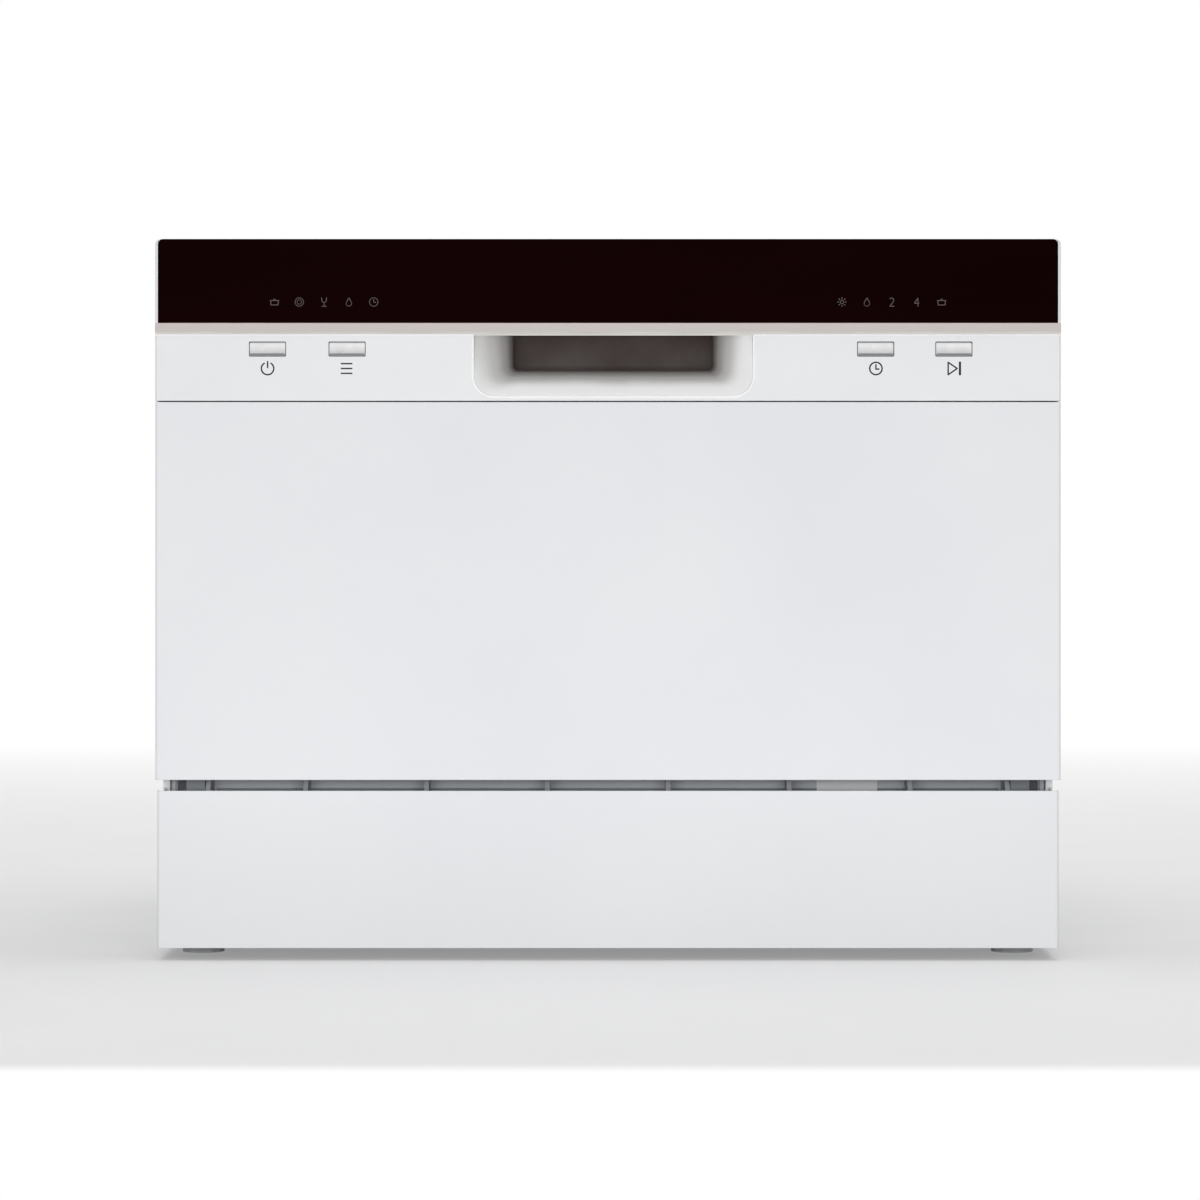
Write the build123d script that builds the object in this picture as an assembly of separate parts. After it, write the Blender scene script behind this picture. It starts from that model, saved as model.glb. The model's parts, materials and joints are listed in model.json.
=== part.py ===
from build123d import *
from math import asin, cos, hypot, pi, radians, sin
import os

# Table-top dishwasher, in millimetres. X right, Y to the back, Z up.
# The origin is on the floor, under the middle of the machine.

# Outer sizes
width = 550.0
depth = 500.0
height = 438.0
ground_gap = 7.5
kick_height = 95.5
door_gap = 6.6
seam = 0.8
button_strip_height = 40.2
trim_height = 7.0
window_height = 51.0

# Walls and clearances
sheet = 0.8
wall = 2.5
clear = 0.3
running = 0.06
door_thickness = 42.0
gasket_thickness = 5.0
gasket_width = 6.0

# Levels and planes that follow from them
half = width / 2
front = -depth / 2
back = depth / 2
kick_top = ground_gap + kick_height
door_bottom = kick_top + door_gap
window_bottom = height - window_height
trim_bottom = window_bottom - trim_height
fascia_bottom = trim_bottom - button_strip_height
door_top = fascia_bottom - seam
rim_y = front + door_thickness
tub_front = rim_y + gasket_thickness

# Door hinge
hinge_setback = 21.5
hinge_rise = 17.4
hinge_pin_radius = 4.0
hinge_y = front + hinge_setback
hinge_z = door_bottom + hinge_rise
corner_sweep = hypot(hinge_setback, hinge_rise)
sweep_gap = 1.5
arm_thickness = 3.0
arm_inner = half - 13.0
arm_length = 120.0
arm_width = 18.0
arm_tail = 34.0
bracket_thickness = 2.5
bracket_inner = arm_inner + arm_thickness + 3.0

# Tub
tub_half = half - 30.0
tub_top = height - 20.0
tub_back = back - 45.0
tub_floor_z = 112.0
tub_corner = 20.0
flange_width = 12.0
pan_recess = 15.0
pan_y = rim_y - pan_recess
ledge_z = hinge_z + (pan_y - hinge_y)
ledge_width = 45.0
ledge_inner = tub_half - ledge_width

# Base tray
tray_half = half - 7.0
tray_front = front + 73.0
tray_back = back - 18.0
tray_side_top = 62.0
tray_front_top = kick_top + 4.5
rib_pitch = 75.0
rib_thickness = 3.0
rib_depth = 25.0
end_rib_x = half - 27.0
tray_floor_z = ground_gap + 0.5

# Feet
foot_radius = 13.0
foot_x = half - 23.0
foot_inset = 60.0
stem_radius = 4.0

# Grip in the fascia
grip_width = 169.0
grip_back_width = 121.6
grip_depth = 24.0
grip_x = 3.2
grip_floor = 2.9
grip_back_floor = 20.0
grip_head_room = 17.0
grip_corner = 12.5
corner_count = 4
grip_rim = 1.2
grip_wall = 2.0

# Buttons
button_width = 21.6
button_height = 8.2
button_gap = 0.45
button_crown = 1.0
button_corner = 0.5
button_travel = 1.5
button_drop = 8.8
button_x = {
    "button_power": -206.7,
    "button_program": -158.4,
    "button_delay": 162.5,
    "button_start": 210.0,
}
pane_thickness = 1.9

# Back panel
rear_opening = 41.0
vent_x = 150.0
vent_length = 70.0
vent_height = 3.0
vent_step = 14.0
vent_lowest = 110.0
vent_highest = 40.0

# Control boards
board_y = front + 13.0
board_thickness = 1.6
switch_size = 6.0
switch_height = 3.0

# Dispenser in the inner door
dispenser_width = 150.0
dispenser_height = 100.0
dispenser_drop = 34.8
dispenser_low = fascia_bottom - dispenser_drop - dispenser_height
dispenser_depth = 21.0
flange_lip = 5.0
flange_thickness = 1.5
cup_x = -25.0
cup_width = 80.0
cup_height = 70.0
cup_depth = 17.0
lid_thickness = 2.0
lid_travel = 66.0
rinse_x = 47.0
rinse_radius = 12.0

# Rack, basket and shelf
wheel_radius = 13.0
wheel_width = 8.0
axle_radius = 3.0
rack_half = tub_half - 31.0
rack_front = tub_front + 20.0
rack_back = tub_back - 15.0
rack_floor_z = 152.0
rack_rim_z = 250.0
wire = 2.0
thin_wire = 1.5
rack_step = 42.0
bar_step = 90.0
wall_step = 70.0
tine_step = 33.6
tine_height = 62.0
shelf_length = 240.0
shelf_width = 95.0
shelf_rod_radius = 2.0
basket_y = -30.0
basket_width = 72.0
basket_x = rack_half - wire - basket_width / 2
basket_length = 190.0
basket_height = 98.0
basket_wall = 2.0

# Water system
hub_x = 0.0
hub_y = 0.0
hub_radius = 14.0
spindle_radius = 9.0
arm_z = 126.0
arm_reach = 176.0
spray_thickness = 10.0
sump_x = 66.0
sump_y = -62.0
sump_radius = 66.0
pot_radius = 58.0
sump_depth = 68.0
filter_radius = 38.0
filter_depth = 48.0
pump_z = 56.0
pump_radius = 36.0
pump_length = 100.0
heater_y = 44.0
heater_radius = 22.0
heater_length = 110.0
salt_x = -118.0
salt_y = 128.0
salt_radius = 24.0
softener_radius = 52.0
inlet_x = -180.0
inlet_z = 36.0
inlet_radius = 13.2
drain_x = 180.0
drain_z = 36.0
drain_radius = 10.0
thread_room = 1.7
relief = 0.5
gland_x = 110.0
gland_radius = 8.0
hose_radius = 5.0
hose_bend = 12.0
breaker_low = ledge_z + 32.5
breaker_top = tub_top - 48.0
breaker_front = -95.0
breaker_back = 105.0
inlet_spigot_y = 90.0
fill_spigot_y = 30.0
spigot_length = 13.0
float_x = 165.0
float_y = tray_front + 42.0
float_radius = 26.0
level_x = 150.0
level_y = 30.0

os.makedirs("parts", exist_ok=True)


def block(x0, x1, y0, y1, z0, z1):
    """A box between two corners."""
    return Pos((x0 + x1) / 2, (y0 + y1) / 2, (z0 + z1) / 2) * Box(x1 - x0, y1 - y0, z1 - z0)


def along_x(points, x0, x1):
    """A profile of (y, z) points drawn out from x0 to x1."""
    face = Plane.YZ.offset(x0) * make_face(Polyline(*points, close=True))
    return extrude(face, amount=x1 - x0, dir=(1, 0, 0))


def along_y(points, y0, y1):
    """A profile of (x, z) points drawn out from y0 to y1."""
    face = Plane.XZ.offset(-y0) * make_face(Polyline(*points, close=True))
    return extrude(face, amount=y1 - y0, dir=(0, 1, 0))


def rod_x(radius, x0, x1, y, z):
    return Pos((x0 + x1) / 2, y, z) * Rot(0, 90, 0) * Cylinder(radius, x1 - x0)


def rod_y(radius, y0, y1, x, z):
    return Pos(x, (y0 + y1) / 2, z) * Rot(90, 0, 0) * Cylinder(radius, y1 - y0)


def rod_z(radius, z0, z1, x, y):
    return Pos(x, y, (z0 + z1) / 2) * Cylinder(radius, z1 - z0)


def arch(half_width, low, high, corner, y0, y1):
    """A plate in the XZ plane with a straight foot and rounded top corners."""
    face = Pos(0, (low + high) / 2) * Rectangle(2 * half_width, high - low)
    face = fillet(face.vertices().group_by(Axis.Y)[-1], corner)
    return extrude(Plane.XZ.offset(-y0) * face, amount=y1 - y0, dir=(0, 1, 0))


def rounded(centre_x, low, high, across, corner, y0, y1):
    """A plate in the XZ plane with four rounded corners."""
    face = Pos(centre_x, (low + high) / 2) * RectangleRounded(across, high - low, corner)
    return extrude(Plane.XZ.offset(-y0) * face, amount=y1 - y0, dir=(0, 1, 0))


def mirrored(shape):
    """The same shape on the other side of the machine."""
    return mirror(shape, about=Plane.YZ)


def both_sides(shape):
    return Compound(children=[shape, mirrored(shape)])


def tube(points, radius):
    """An eight-sided hose or pipe with mitred corners."""
    path = Polyline(*points)
    start = Plane(origin=path @ 0, z_dir=path % 0)
    return sweep(start * RegularPolygon(radius, 8), path=path, transition=Transition.RIGHT)


def drum_x(radius, x0, x1, y, z, sides=12):
    """A housing or a clearance hole with flats, lying along X."""
    plane = Plane(origin=(x0, y, z), x_dir=(0, 1, 0), z_dir=(1, 0, 0))
    return extrude(plane * RegularPolygon(radius, sides), amount=x1 - x0, dir=(1, 0, 0))


def drum_y(radius, y0, y1, x, z, sides=12):
    plane = Plane(origin=(x, y0, z), x_dir=(1, 0, 0), z_dir=(0, 1, 0))
    return extrude(plane * RegularPolygon(radius, sides), amount=y1 - y0, dir=(0, 1, 0))


def drum_z(radius, z0, z1, x, y, sides=12):
    return extrude(Pos(x, y, z0) * RegularPolygon(radius, sides), amount=z1 - z0, dir=(0, 0, 1))


def soft_rectangle(centre_x, low, high, across, corner, chords):
    """(x, z) points of a rectangle whose rounded corners are drawn with a few chords."""
    points = []
    for quarter, (side, edge) in enumerate(((1, high), (-1, high), (-1, low), (1, low))):
        x = centre_x + side * (across / 2 - corner)
        z = edge - corner if edge == high else edge + corner
        for i in range(chords + 1):
            turn = radians(90 * quarter + 90 * i / chords)
            points.append((x + corner * cos(turn), z + corner * sin(turn)))
    return points


def spaced(low, high, step):
    """Places from low to high, evenly spaced at about the step."""
    count = max(1, round((high - low) / step))
    return [low + (high - low) * i / count for i in range(count + 1)]


# Cabinet


def base_tray():
    low = tray_floor_z
    floor_top = low + wall
    tray = block(-tray_half, tray_half, tray_front, tray_back, low, tray_side_top)
    tray -= block(
        -tray_half + wall, tray_half - wall, tray_front + wall, tray_back - wall, floor_top, tray_side_top
    )
    tray += block(-tray_half, tray_half, tray_front, tray_front + wall, low, tray_front_top)
    tray += block(-tray_half, tray_half, tray_front - rib_depth - 4, tray_front, low, floor_top)
    nose = tray_front - rib_depth
    rib = [(tray_front, low), (nose, low), (nose, tray_front_top - 6), (nose + 5, tray_front_top)]
    rib.append((tray_front, tray_front_top))
    rib_places = [rib_pitch * (i + 0.5) for i in range(3)] + [end_rib_x]
    for x in rib_places:
        for side in (-1, 1):
            middle = side * x
            tray += along_x(rib, middle - rib_thickness / 2, middle + rib_thickness / 2)
    post_top = ledge_z - sheet
    for side in (-1, 1):
        inner, outer = sorted((side * (tray_half - 6), side * tray_half))
        tray += block(inner, outer, tray_front, tray_front + 24, low, post_top)
        inner, outer = sorted((side * (ledge_inner + 20), side * (ledge_inner + 23)))
        rail = block(inner, outer, tray_front + wall, tray_back - 52, floor_top, ledge_z - sheet)
        for y0, y1 in ((tray_front + 56, -40), (40, tray_back - 62)):
            rail -= block(inner, outer, y0, y1, floor_top + 6, tub_floor_z - 12)
        tray += rail
    tray += block(-tray_half, tray_half, tray_back - wall, tray_back, tray_side_top, tray_side_top + 40)
    tray -= drum_y(inlet_radius + thread_room, tray_back - wall, tray_back, inlet_x, inlet_z)
    tray -= drum_y(drain_radius + thread_room, tray_back - wall, tray_back, drain_x, drain_z)
    tray -= drum_y(gland_radius, tray_back - wall, tray_back, gland_x, drain_z)
    for x, y in foot_places():
        tray -= drum_z(stem_radius + clear, low, floor_top + 9, x, y, 6)
    return tray


def foot_places():
    return [(sx * foot_x, y) for sx in (-1, 1) for y in (front + foot_inset, back - foot_inset)]


def feet():
    """Moulded feet with flats for turning, each on a stem through the tray's floor."""
    made = []
    for x, y in foot_places():
        stem_top = tray_floor_z + wall + 8
        made.append(
            drum_z(foot_radius, 0, tray_floor_z, x, y) + drum_z(stem_radius, tray_floor_z, stem_top, x, y, 6)
        )
    return Compound(children=made)


def kick_panel():
    edge = half - 1.2
    panel = block(-edge, edge, front, rim_y - 1, ground_gap, kick_top)
    panel = fillet(panel.edges().filter_by(Axis.Z).group_by(Axis.Y)[0], 2.0)
    hollow = block(-edge + sheet, edge - sheet, front + sheet, rim_y - 1, ground_gap + sheet, kick_top)
    hollow = fillet(hollow.edges().filter_by(Axis.Z).group_by(Axis.Y)[0], 2.0 - sheet)
    panel -= hollow
    panel -= block(-edge, edge, front + 24, rim_y - 1, ground_gap, ground_gap + sheet)
    return panel - rod_x(corner_sweep + sweep_gap, -half, half, hinge_y, hinge_z)


def side_panel():
    """The right-hand one. Its front and rear edges are folded inwards."""
    low, high = ground_gap + 0.5, height - 8
    panel = block(half - sheet, half, rim_y, back - 1, low, high)
    panel += block(half - 4.2, half, rim_y, rim_y + sheet, low, high)
    panel += block(half - 16, half, back - 1 - sheet, back - 1, low, high)
    return panel


def top_cover():
    low, high = height - 8 + 0.2, height - 0.5
    cover = block(-half, half, rim_y, back, low, high)
    cover = fillet(cover.edges().filter_by(Axis.Z).group_by(Axis.Y)[-1], 6.0)
    cover = chamfer(cover.edges().group_by(Axis.Z)[-1].filter_by(Axis.Y), 1.5)
    return cover - block(-half + wall, half - wall, rim_y + wall, back - wall, low, high - wall)


def back_panel():
    low, high = tray_side_top + rear_opening, height - 8
    panel = block(-half + 2, half - 2, back - sheet, back, low, high)
    slot = block(-vent_length / 2, vent_length / 2, back - sheet, back, -vent_height / 2, vent_height / 2)
    for z in spaced(high - vent_lowest, high - vent_highest, vent_step):
        for x in (-vent_x, vent_x):
            panel -= Pos(x, 0, z) * slot
    return panel


# Tub


def tub_shell():
    inner = arch(tub_half, ledge_z, tub_top, tub_corner, tub_front, tub_back)
    shell = arch(tub_half + sheet, ledge_z, tub_top + sheet, tub_corner + sheet, tub_front, tub_back)
    outer = tub_half + flange_width
    flange = arch(outer, ledge_z, tub_top + flange_width, 10, tub_front, tub_front + sheet)
    return shell + flange - inner


def tub_floor():
    """Pressed floor: a low middle between two wheel ledges, closed in front by a sill."""
    slope = 5.0
    top = [
        (-tub_half, ledge_z),
        (-ledge_inner, ledge_z),
        (-ledge_inner + slope, tub_floor_z),
        (ledge_inner - slope, tub_floor_z),
        (ledge_inner, ledge_z),
        (tub_half, ledge_z),
    ]
    under = [(x, z - sheet) for x, z in reversed(top)]
    pressing = along_y(top + under, tub_front, tub_back)
    sill = block(-tub_half, tub_half, tub_front, tub_front + sheet, hinge_z - 10, ledge_z - sheet)
    sill += along_y(top[1:5], tub_front, tub_front + sheet)
    pressing += sill
    pressing -= drum_z(sump_radius, tub_floor_z - 5, tub_floor_z + 5, sump_x, sump_y, sides=24)
    pressing -= drum_z(hub_radius + clear, tub_floor_z - 5, tub_floor_z + 5, hub_x, hub_y)
    return pressing - drum_z(salt_radius + 4, tub_floor_z - 5, tub_floor_z + 5, salt_x, salt_y)


def tub_rear():
    low = tub_floor_z - sheet
    disc_z = (ledge_z + tub_top) / 2
    disc_radius = 110.0
    bulge = 3.0
    rear = arch(tub_half + sheet, low, tub_top + sheet, tub_corner, tub_back, tub_back + sheet)
    rear += drum_y(disc_radius + sheet, tub_back, tub_back + bulge + sheet, 0, disc_z, sides=24)
    return rear - drum_y(disc_radius, tub_back, tub_back + bulge, 0, disc_z, sides=24)


def door_seal():
    """U-shaped gasket on the tub's flange, with a groove along its face."""
    inner, outer = tub_half + 1, tub_half + 1 + gasket_width
    low, face = ledge_z + 1, rim_y + clear
    seal = arch(outer, low, tub_top + 1 + gasket_width, tub_corner + gasket_width, face, tub_front)
    seal -= arch(inner, low, tub_top + 1, tub_corner, face, tub_front)
    groove = arch(outer - 2, low, tub_top - 1 + gasket_width, tub_corner + 4, face, face + 1.2)
    groove -= arch(inner + 2, low, tub_top + 3, tub_corner + 2, face, face + 1.2)
    return seal - groove


def strike():
    """Catch plate above the gasket, with a mushroom-headed tongue that reaches into the door."""
    z = strike_z()
    plate = block(-22, 22, tub_front - 1.6, tub_front, z - 1.8, z + 2.2)
    tongue = block(-6, 6, rim_y - 12, tub_front, z - 1.5, z + 1.5)
    head = along_z([(-6, -5), (-10, -8), (-10, -11), (-6, -18), (6, -18), (10, -11), (10, -8), (6, -5)], z)
    return plate + tongue + Pos(0, rim_y, 0) * head


def strike_z():
    return tub_top + 1 + gasket_width + 2.5


def along_z(points, middle_z):
    """A flat piece of (x, y) points, 3 mm thick."""
    face = Plane.XY.offset(middle_z - 1.5) * make_face(Polyline(*points, close=True))
    return extrude(face, amount=3, dir=(0, 0, 1))


def hinge_brackets():
    """A plate on the base's post, reaching forward to a pin that the door arm turns on."""
    x0, x1 = bracket_inner, bracket_inner + bracket_thickness
    tip, root, tail = hinge_y - 9, tub_front - 2, tray_front + 20
    low, high = hinge_z - 8, hinge_z + 11
    plate = [(tip, low), (root, low), (root + 10, low - 22), (tail, low - 22), (tail, high), (tip, high)]
    bracket = along_x(plate, x0, x1)
    bracket += rod_x(hinge_pin_radius, arm_inner - 2, x0, hinge_y, hinge_z)
    bracket += drum_x(hinge_pin_radius + 1.5, arm_inner - 3.5, arm_inner - 0.5, hinge_y, hinge_z)
    return both_sides(bracket)


def door_springs():
    """Coil springs drawn as plain sleeves with a hook at each end."""
    x = arm_inner + arm_thickness / 2
    y = hinge_y + arm_tail
    top, low = hinge_z - 7, tray_floor_z + wall
    spring = drum_z(4.2, low + 8, top - 6, x, y)
    spring += drum_z(0.9, low, low + 8, x, y, 6) + drum_z(0.9, top - 6, top, x, y, 6)
    return both_sides(spring)


# Door


def door_outer_panel():
    corner = 2.0
    rear = rim_y - 1
    panel = block(-half, half, front, rear, door_bottom, door_top)
    panel = fillet(panel.edges().filter_by(Axis.Z).group_by(Axis.Y)[0], corner)
    hollow = block(-half + sheet, half - sheet, front + sheet, rear, door_bottom, door_top)
    hollow = fillet(hollow.edges().filter_by(Axis.Z).group_by(Axis.Y)[0], corner - sheet)
    panel -= hollow
    turn_in = bracket_inner - 1
    panel += block(-turn_in, turn_in, front + sheet, front + 9, door_bottom, door_bottom + sheet)
    panel += block(-half + sheet, half - sheet, front + sheet, front + 9, door_top - sheet, door_top)
    reach = rim_y - 1 - hinge_y
    heel = block(-half, half, hinge_y, rear + 1, door_bottom, hinge_z)
    return panel - (heel - rod_x(reach, -half, half, hinge_y, hinge_z))


def inner_door():
    """Stainless pan. It is open at the foot, so that the rack rolls out level with the ledges."""
    outer = arm_inner
    pan_half = tub_half - 7
    low, high = hinge_z, tub_top + flange_width
    pan_top = tub_top - 10
    rim = block(-outer, outer, rim_y - sheet, rim_y, low, high)
    pan = arch(pan_half + sheet, low, pan_top + sheet, 25 + sheet, pan_y - sheet, rim_y)
    hollow = arch(pan_half, low, pan_top, 25, pan_y, rim_y)
    door = rim + pan - hollow
    for side in (-1, 1):
        a, b = sorted((side * (outer - sheet), side * outer))
        door += block(a, b, rim_y - 30, rim_y, low + 10, fascia_bottom - 1)
    half_hole = dispenser_width / 2
    door -= block(
        -half_hole, half_hole, pan_y - sheet, pan_y, dispenser_low, dispenser_low + dispenser_height
    )
    z = strike_z()
    return door - block(-14, 14, rim_y - sheet, rim_y, z - 2.6, high)


def lower_seal():
    """Rubber lip along the foot of the inner door, which closes on the tub's sill."""
    half_seal = tub_half - 8
    lip_end = tub_front - 1.5
    z = hinge_z
    shape = [(pan_y, z + 5), (pan_y, z - 3), (lip_end - 3, z - 7), (lip_end, z - 5.5), (lip_end - 3, z - 4.5)]
    shape += [(pan_y + 3, z - 0.5), (pan_y + 2, z + 5)]
    return along_x(shape, -half_seal, half_seal)


def hinge_arm():
    """The right-hand one: a leg up the door and a tail that the spring pulls on."""
    x0, x1 = arm_inner, arm_inner + arm_thickness
    leg_front = hinge_y - 8
    leg_back = leg_front + arm_width
    tail = hinge_y + arm_tail
    leg = [(leg_front, hinge_z), (leg_back, hinge_z), (leg_back, hinge_z + arm_length)]
    leg += [(leg_back - 4, hinge_z + arm_length + 4), (leg_front, hinge_z + arm_length + 4)]
    arm = along_x(leg, x0, x1) + drum_x(9, x0, x1, hinge_y, hinge_z)
    spur = [(hinge_y, hinge_z - 9), (tail, hinge_z - 6), (tail, hinge_z + 3), (leg_back, hinge_z + 12)]
    arm += along_x(spur, x0, x1) + drum_x(4.5, x0, x1, tail, hinge_z - 1.5)
    arm -= rod_x(hinge_pin_radius + running, x0, x1, hinge_y, hinge_z)
    return arm - drum_x(1.8, x0, x1, tail, hinge_z - 1.5, sides=6)


def grip_span(rim):
    """The mouth's lowest and highest edges, with the rim's width added round it."""
    return fascia_bottom + grip_floor - rim, trim_bottom + grip_head_room + rim


def control_panel():
    """White fascia: a strip for the grip and keys under a shelf for the trim and window."""
    rear = rim_y - 1
    panel = block(-half, half, front, rear, fascia_bottom, height)
    panel = fillet(panel.edges().filter_by(Axis.Y).group_by(Axis.Z)[-1], 3.0)
    panel = chamfer(panel.edges().filter_by(Axis.Z).group_by(Axis.Y)[0], 1.0)
    panel -= block(
        -half + wall, half - wall, front + wall + pane_thickness, rear, fascia_bottom + wall, height - wall
    )
    strip_top = trim_bottom - wall
    panel -= block(-half + wall, half - wall, front + wall, rear, fascia_bottom + wall, strip_top)
    panel -= block(-half + wall, half - wall, pan_y - 3, rear, fascia_bottom, fascia_bottom + wall)
    shelf = front + pane_thickness
    panel -= block(-half, half, front, shelf, trim_bottom, window_bottom)
    panel -= block(-half + 1.7, half - 1.7, front, shelf, window_bottom, height)
    low, high = grip_span(grip_rim)
    across, corner = grip_width + 2 * grip_rim, grip_corner + grip_rim
    mouth = soft_rectangle(grip_x, low, high, across, corner, corner_count)
    panel -= along_y(mouth, front, rear - 20)
    for x in button_x.values():
        panel -= key_face(x, button_gap)
    return panel


def key_face(x, gap):
    """The hole or the body of a key, square to the fascia, with its corners taken off."""
    z = trim_bottom - button_drop
    across, tall = button_width + 2 * gap, button_height + 2 * gap
    points = soft_rectangle(x, z - tall / 2, z + tall / 2, across, button_corner, 1)
    return along_y(points, front - 1, front + wall + 1)


def button(x):
    """Crowned key with a stem that reaches its switch."""
    z = trim_bottom - button_drop
    rise = button_height / 2
    crown = (rise * rise + button_crown * button_crown) / (2 * button_crown)
    key = key_face(x, 0) & rod_x(crown, x - button_width, x + button_width, front + crown, z)
    tip = board_y - switch_height - clear - button_travel
    return key + block(x - 4, x + 4, front + wall, tip, z - 2, z + 2)


def display_window():
    edge = half - 1.9
    return arch(edge, window_bottom + 0.1, height, 3.0, front, front + pane_thickness)


def trim_strip():
    low, high = trim_bottom + 0.1, window_bottom
    rear = front + pane_thickness
    shape = [(rear, low), (front + 0.8, low), (front, low + 1.2), (front, high), (rear, high)]
    return along_x(shape, -half, half)


def grip_skin(offset, y0, y1):
    """A tapering well from the mouth to its smaller back wall, as an offset of the inside."""
    low, high = grip_span(offset)
    corner = grip_corner + offset
    deep_low = fascia_bottom + grip_back_floor - offset
    mouth = soft_rectangle(grip_x, low, high, grip_width + 2 * offset, corner, corner_count)
    well = soft_rectangle(grip_x, deep_low, high, grip_back_width + 2 * offset, corner, corner_count)
    near = [Vector(x, y0, z) for x, z in mouth]
    far = [Vector(x, y1, z) for x, z in well]
    faces = [make_face(Polyline(*near, close=True)), make_face(Polyline(*far, close=True))]
    for i in range(len(near)):
        j = (i + 1) % len(near)
        faces.append(make_face(Polyline(near[i], near[j], far[j], far[i], close=True)))
    return Solid(Shell([face.face() for face in faces]))


def handle_cup():
    """Well for the fingers. Above the trim's lower edge it is closed in front by the fascia."""
    mouth_y, well_y = front + 0.6, front + grip_depth
    cup = grip_skin(grip_rim, mouth_y, well_y + grip_wall) - grip_skin(0, mouth_y - 0.01, well_y)
    behind_trim = block(-half, half, front, front + pane_thickness + 0.1, trim_bottom - 0.1, height)
    return cup - behind_trim


def lock_span():
    return strike_z() - 7, strike_z() + 7


def door_lock():
    low, high = lock_span()
    body = block(-34, 34, rim_y - 26, rim_y - sheet, low, high)
    return body - block(-20, 20, rim_y - 22, rim_y - sheet, low + 3, high - 3)


def catch_springs():
    """Two bent leaves that close behind the strike's head."""
    z = strike_z()
    back_y = rim_y - 21.7
    points = [(18, back_y), (19, back_y), (19, rim_y - 6), (8, rim_y - 1.5)]
    points += [(7, rim_y - 3), (17.5, rim_y - 7)]
    return both_sides(along_z(points, z))


def board(low_x, high_x, keys):
    low, high = fascia_bottom + 9, height - 14
    made = block(low_x, high_x, board_y, board_y + board_thickness, low, high)
    key_z = trim_bottom - button_drop
    size = switch_size / 2
    for x in keys:
        made += block(x - size, x + size, board_y - switch_height, board_y, key_z - size, key_z + size)
    lamp_z = window_bottom + 13
    for x in spaced(low_x + 12, high_x - 12, 36):
        made += block(x - 1.5, x + 1.5, board_y - 1, board_y, lamp_z - 1, lamp_z + 1)
    return made


def control_boards():
    """One board behind each pair of keys, with the row of lamps behind the window."""
    left = board(-half + 20, -110, [button_x["button_power"], button_x["button_program"]])
    right = board(110, half - 20, [button_x["button_delay"], button_x["button_start"]])
    return Compound(children=[left, right])


def dispenser_body():
    low, high = dispenser_low, dispenser_low + dispenser_height
    rear, face = pan_y - dispenser_depth, pan_y + flange_thickness
    reach = dispenser_width / 2
    body = block(-reach + clear, reach - clear, rear, pan_y, low + clear, high - clear)
    lid_low, lid_high = cup_low() - 4, cup_low() + cup_height + 4
    body += block(-reach - flange_lip, reach + flange_lip, pan_y, face, low - flange_lip, high + flange_lip)
    body += block(
        cup_x - cup_width / 2 - 8, cup_x + cup_width / 2 + 8, pan_y, face, high, lid_high + lid_travel + 3
    )
    rail_y = face + lid_thickness + 2 * clear
    for side in (-1, 1):
        guide = cup_x + side * (cup_width / 2 + 4 + clear)
        a, b = sorted((guide, guide + side * 3))
        body += block(a, b, face, rail_y + 1.2, lid_low, lid_high + lid_travel)
        a, b = sorted((guide - side * 2, guide + side * 3))
        body += block(a, b, rail_y, rail_y + 1.2, lid_low, lid_high + lid_travel)
    mouth = soft_rectangle(cup_x, cup_low(), cup_low() + cup_height, cup_width, 8, corner_count)
    body -= along_y(mouth, face - cup_depth, face)
    return body - rod_y(rinse_radius, face - 14, face, rinse_x, rinse_z())


def cup_low():
    return dispenser_low + 13


def rinse_z():
    return dispenser_low + dispenser_height - 32


def detergent_lid():
    face = pan_y + flange_thickness + clear
    low, high = cup_low() - 4, cup_low() + cup_height + 4
    edge = cup_width / 2 + 4
    lid = block(cup_x - edge, cup_x + edge, face, face + lid_thickness, low, high)
    for z in spaced(low + 10, low + 22, 4):
        lid += block(cup_x - 14, cup_x + 14, face + lid_thickness, face + lid_thickness + 1, z - 0.8, z + 0.8)
    return lid


def rinse_cap():
    face = pan_y + flange_thickness
    cap = drum_y(rinse_radius + 3, face + clear, face + 4, rinse_x, rinse_z())
    cap += drum_y(rinse_radius - running, face - 8, face + clear, rinse_x, rinse_z(), sides=16)
    return cap + block(rinse_x - 11, rinse_x + 11, face + 4, face + 7, rinse_z() - 2, rinse_z() + 2)


# Water system


def sump():
    top = tub_floor_z - sheet
    bottom = top - sump_depth
    pot = drum_z(sump_radius + 8, top - 4, top, sump_x, sump_y)
    pot += drum_z(pot_radius, bottom, top, sump_x, sump_y)
    port = sump_x - sump_radius - 4
    pot += drum_x(17, port, sump_x - pot_radius + 8, sump_y, pump_z)
    pot += drum_x(14, sump_x + pot_radius - 8, sump_x + sump_radius + 4, sump_y, pump_z)
    pot -= drum_z(pot_radius - wall, bottom + wall, top, sump_x, sump_y)
    return pot


def fine_filter():
    z = tub_floor_z
    plate = drum_z(sump_radius + 8, z, z + 1.6, sump_x, sump_y, sides=24)
    hole = (filter_radius + running) / cos(pi / 24)
    return plate - drum_z(hole, z, z + 1.6, sump_x, sump_y, sides=24)


def coarse_filter():
    """Twist-out filter cup with a bar handle."""
    z = tub_floor_z
    cup = drum_z(filter_radius - 1, z - filter_depth, z, sump_x, sump_y)
    cup += drum_z(filter_radius, z - 1, z + 3, sump_x, sump_y, sides=24)
    cup -= drum_z(filter_radius - 1 - wall, z - filter_depth + wall, z + 3, sump_x, sump_y)
    bar = filter_radius - 1 - wall / 2
    return cup + block(sump_x - bar, sump_x + bar, sump_y - 2, sump_y + 2, z - 12, z + 9)


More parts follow.
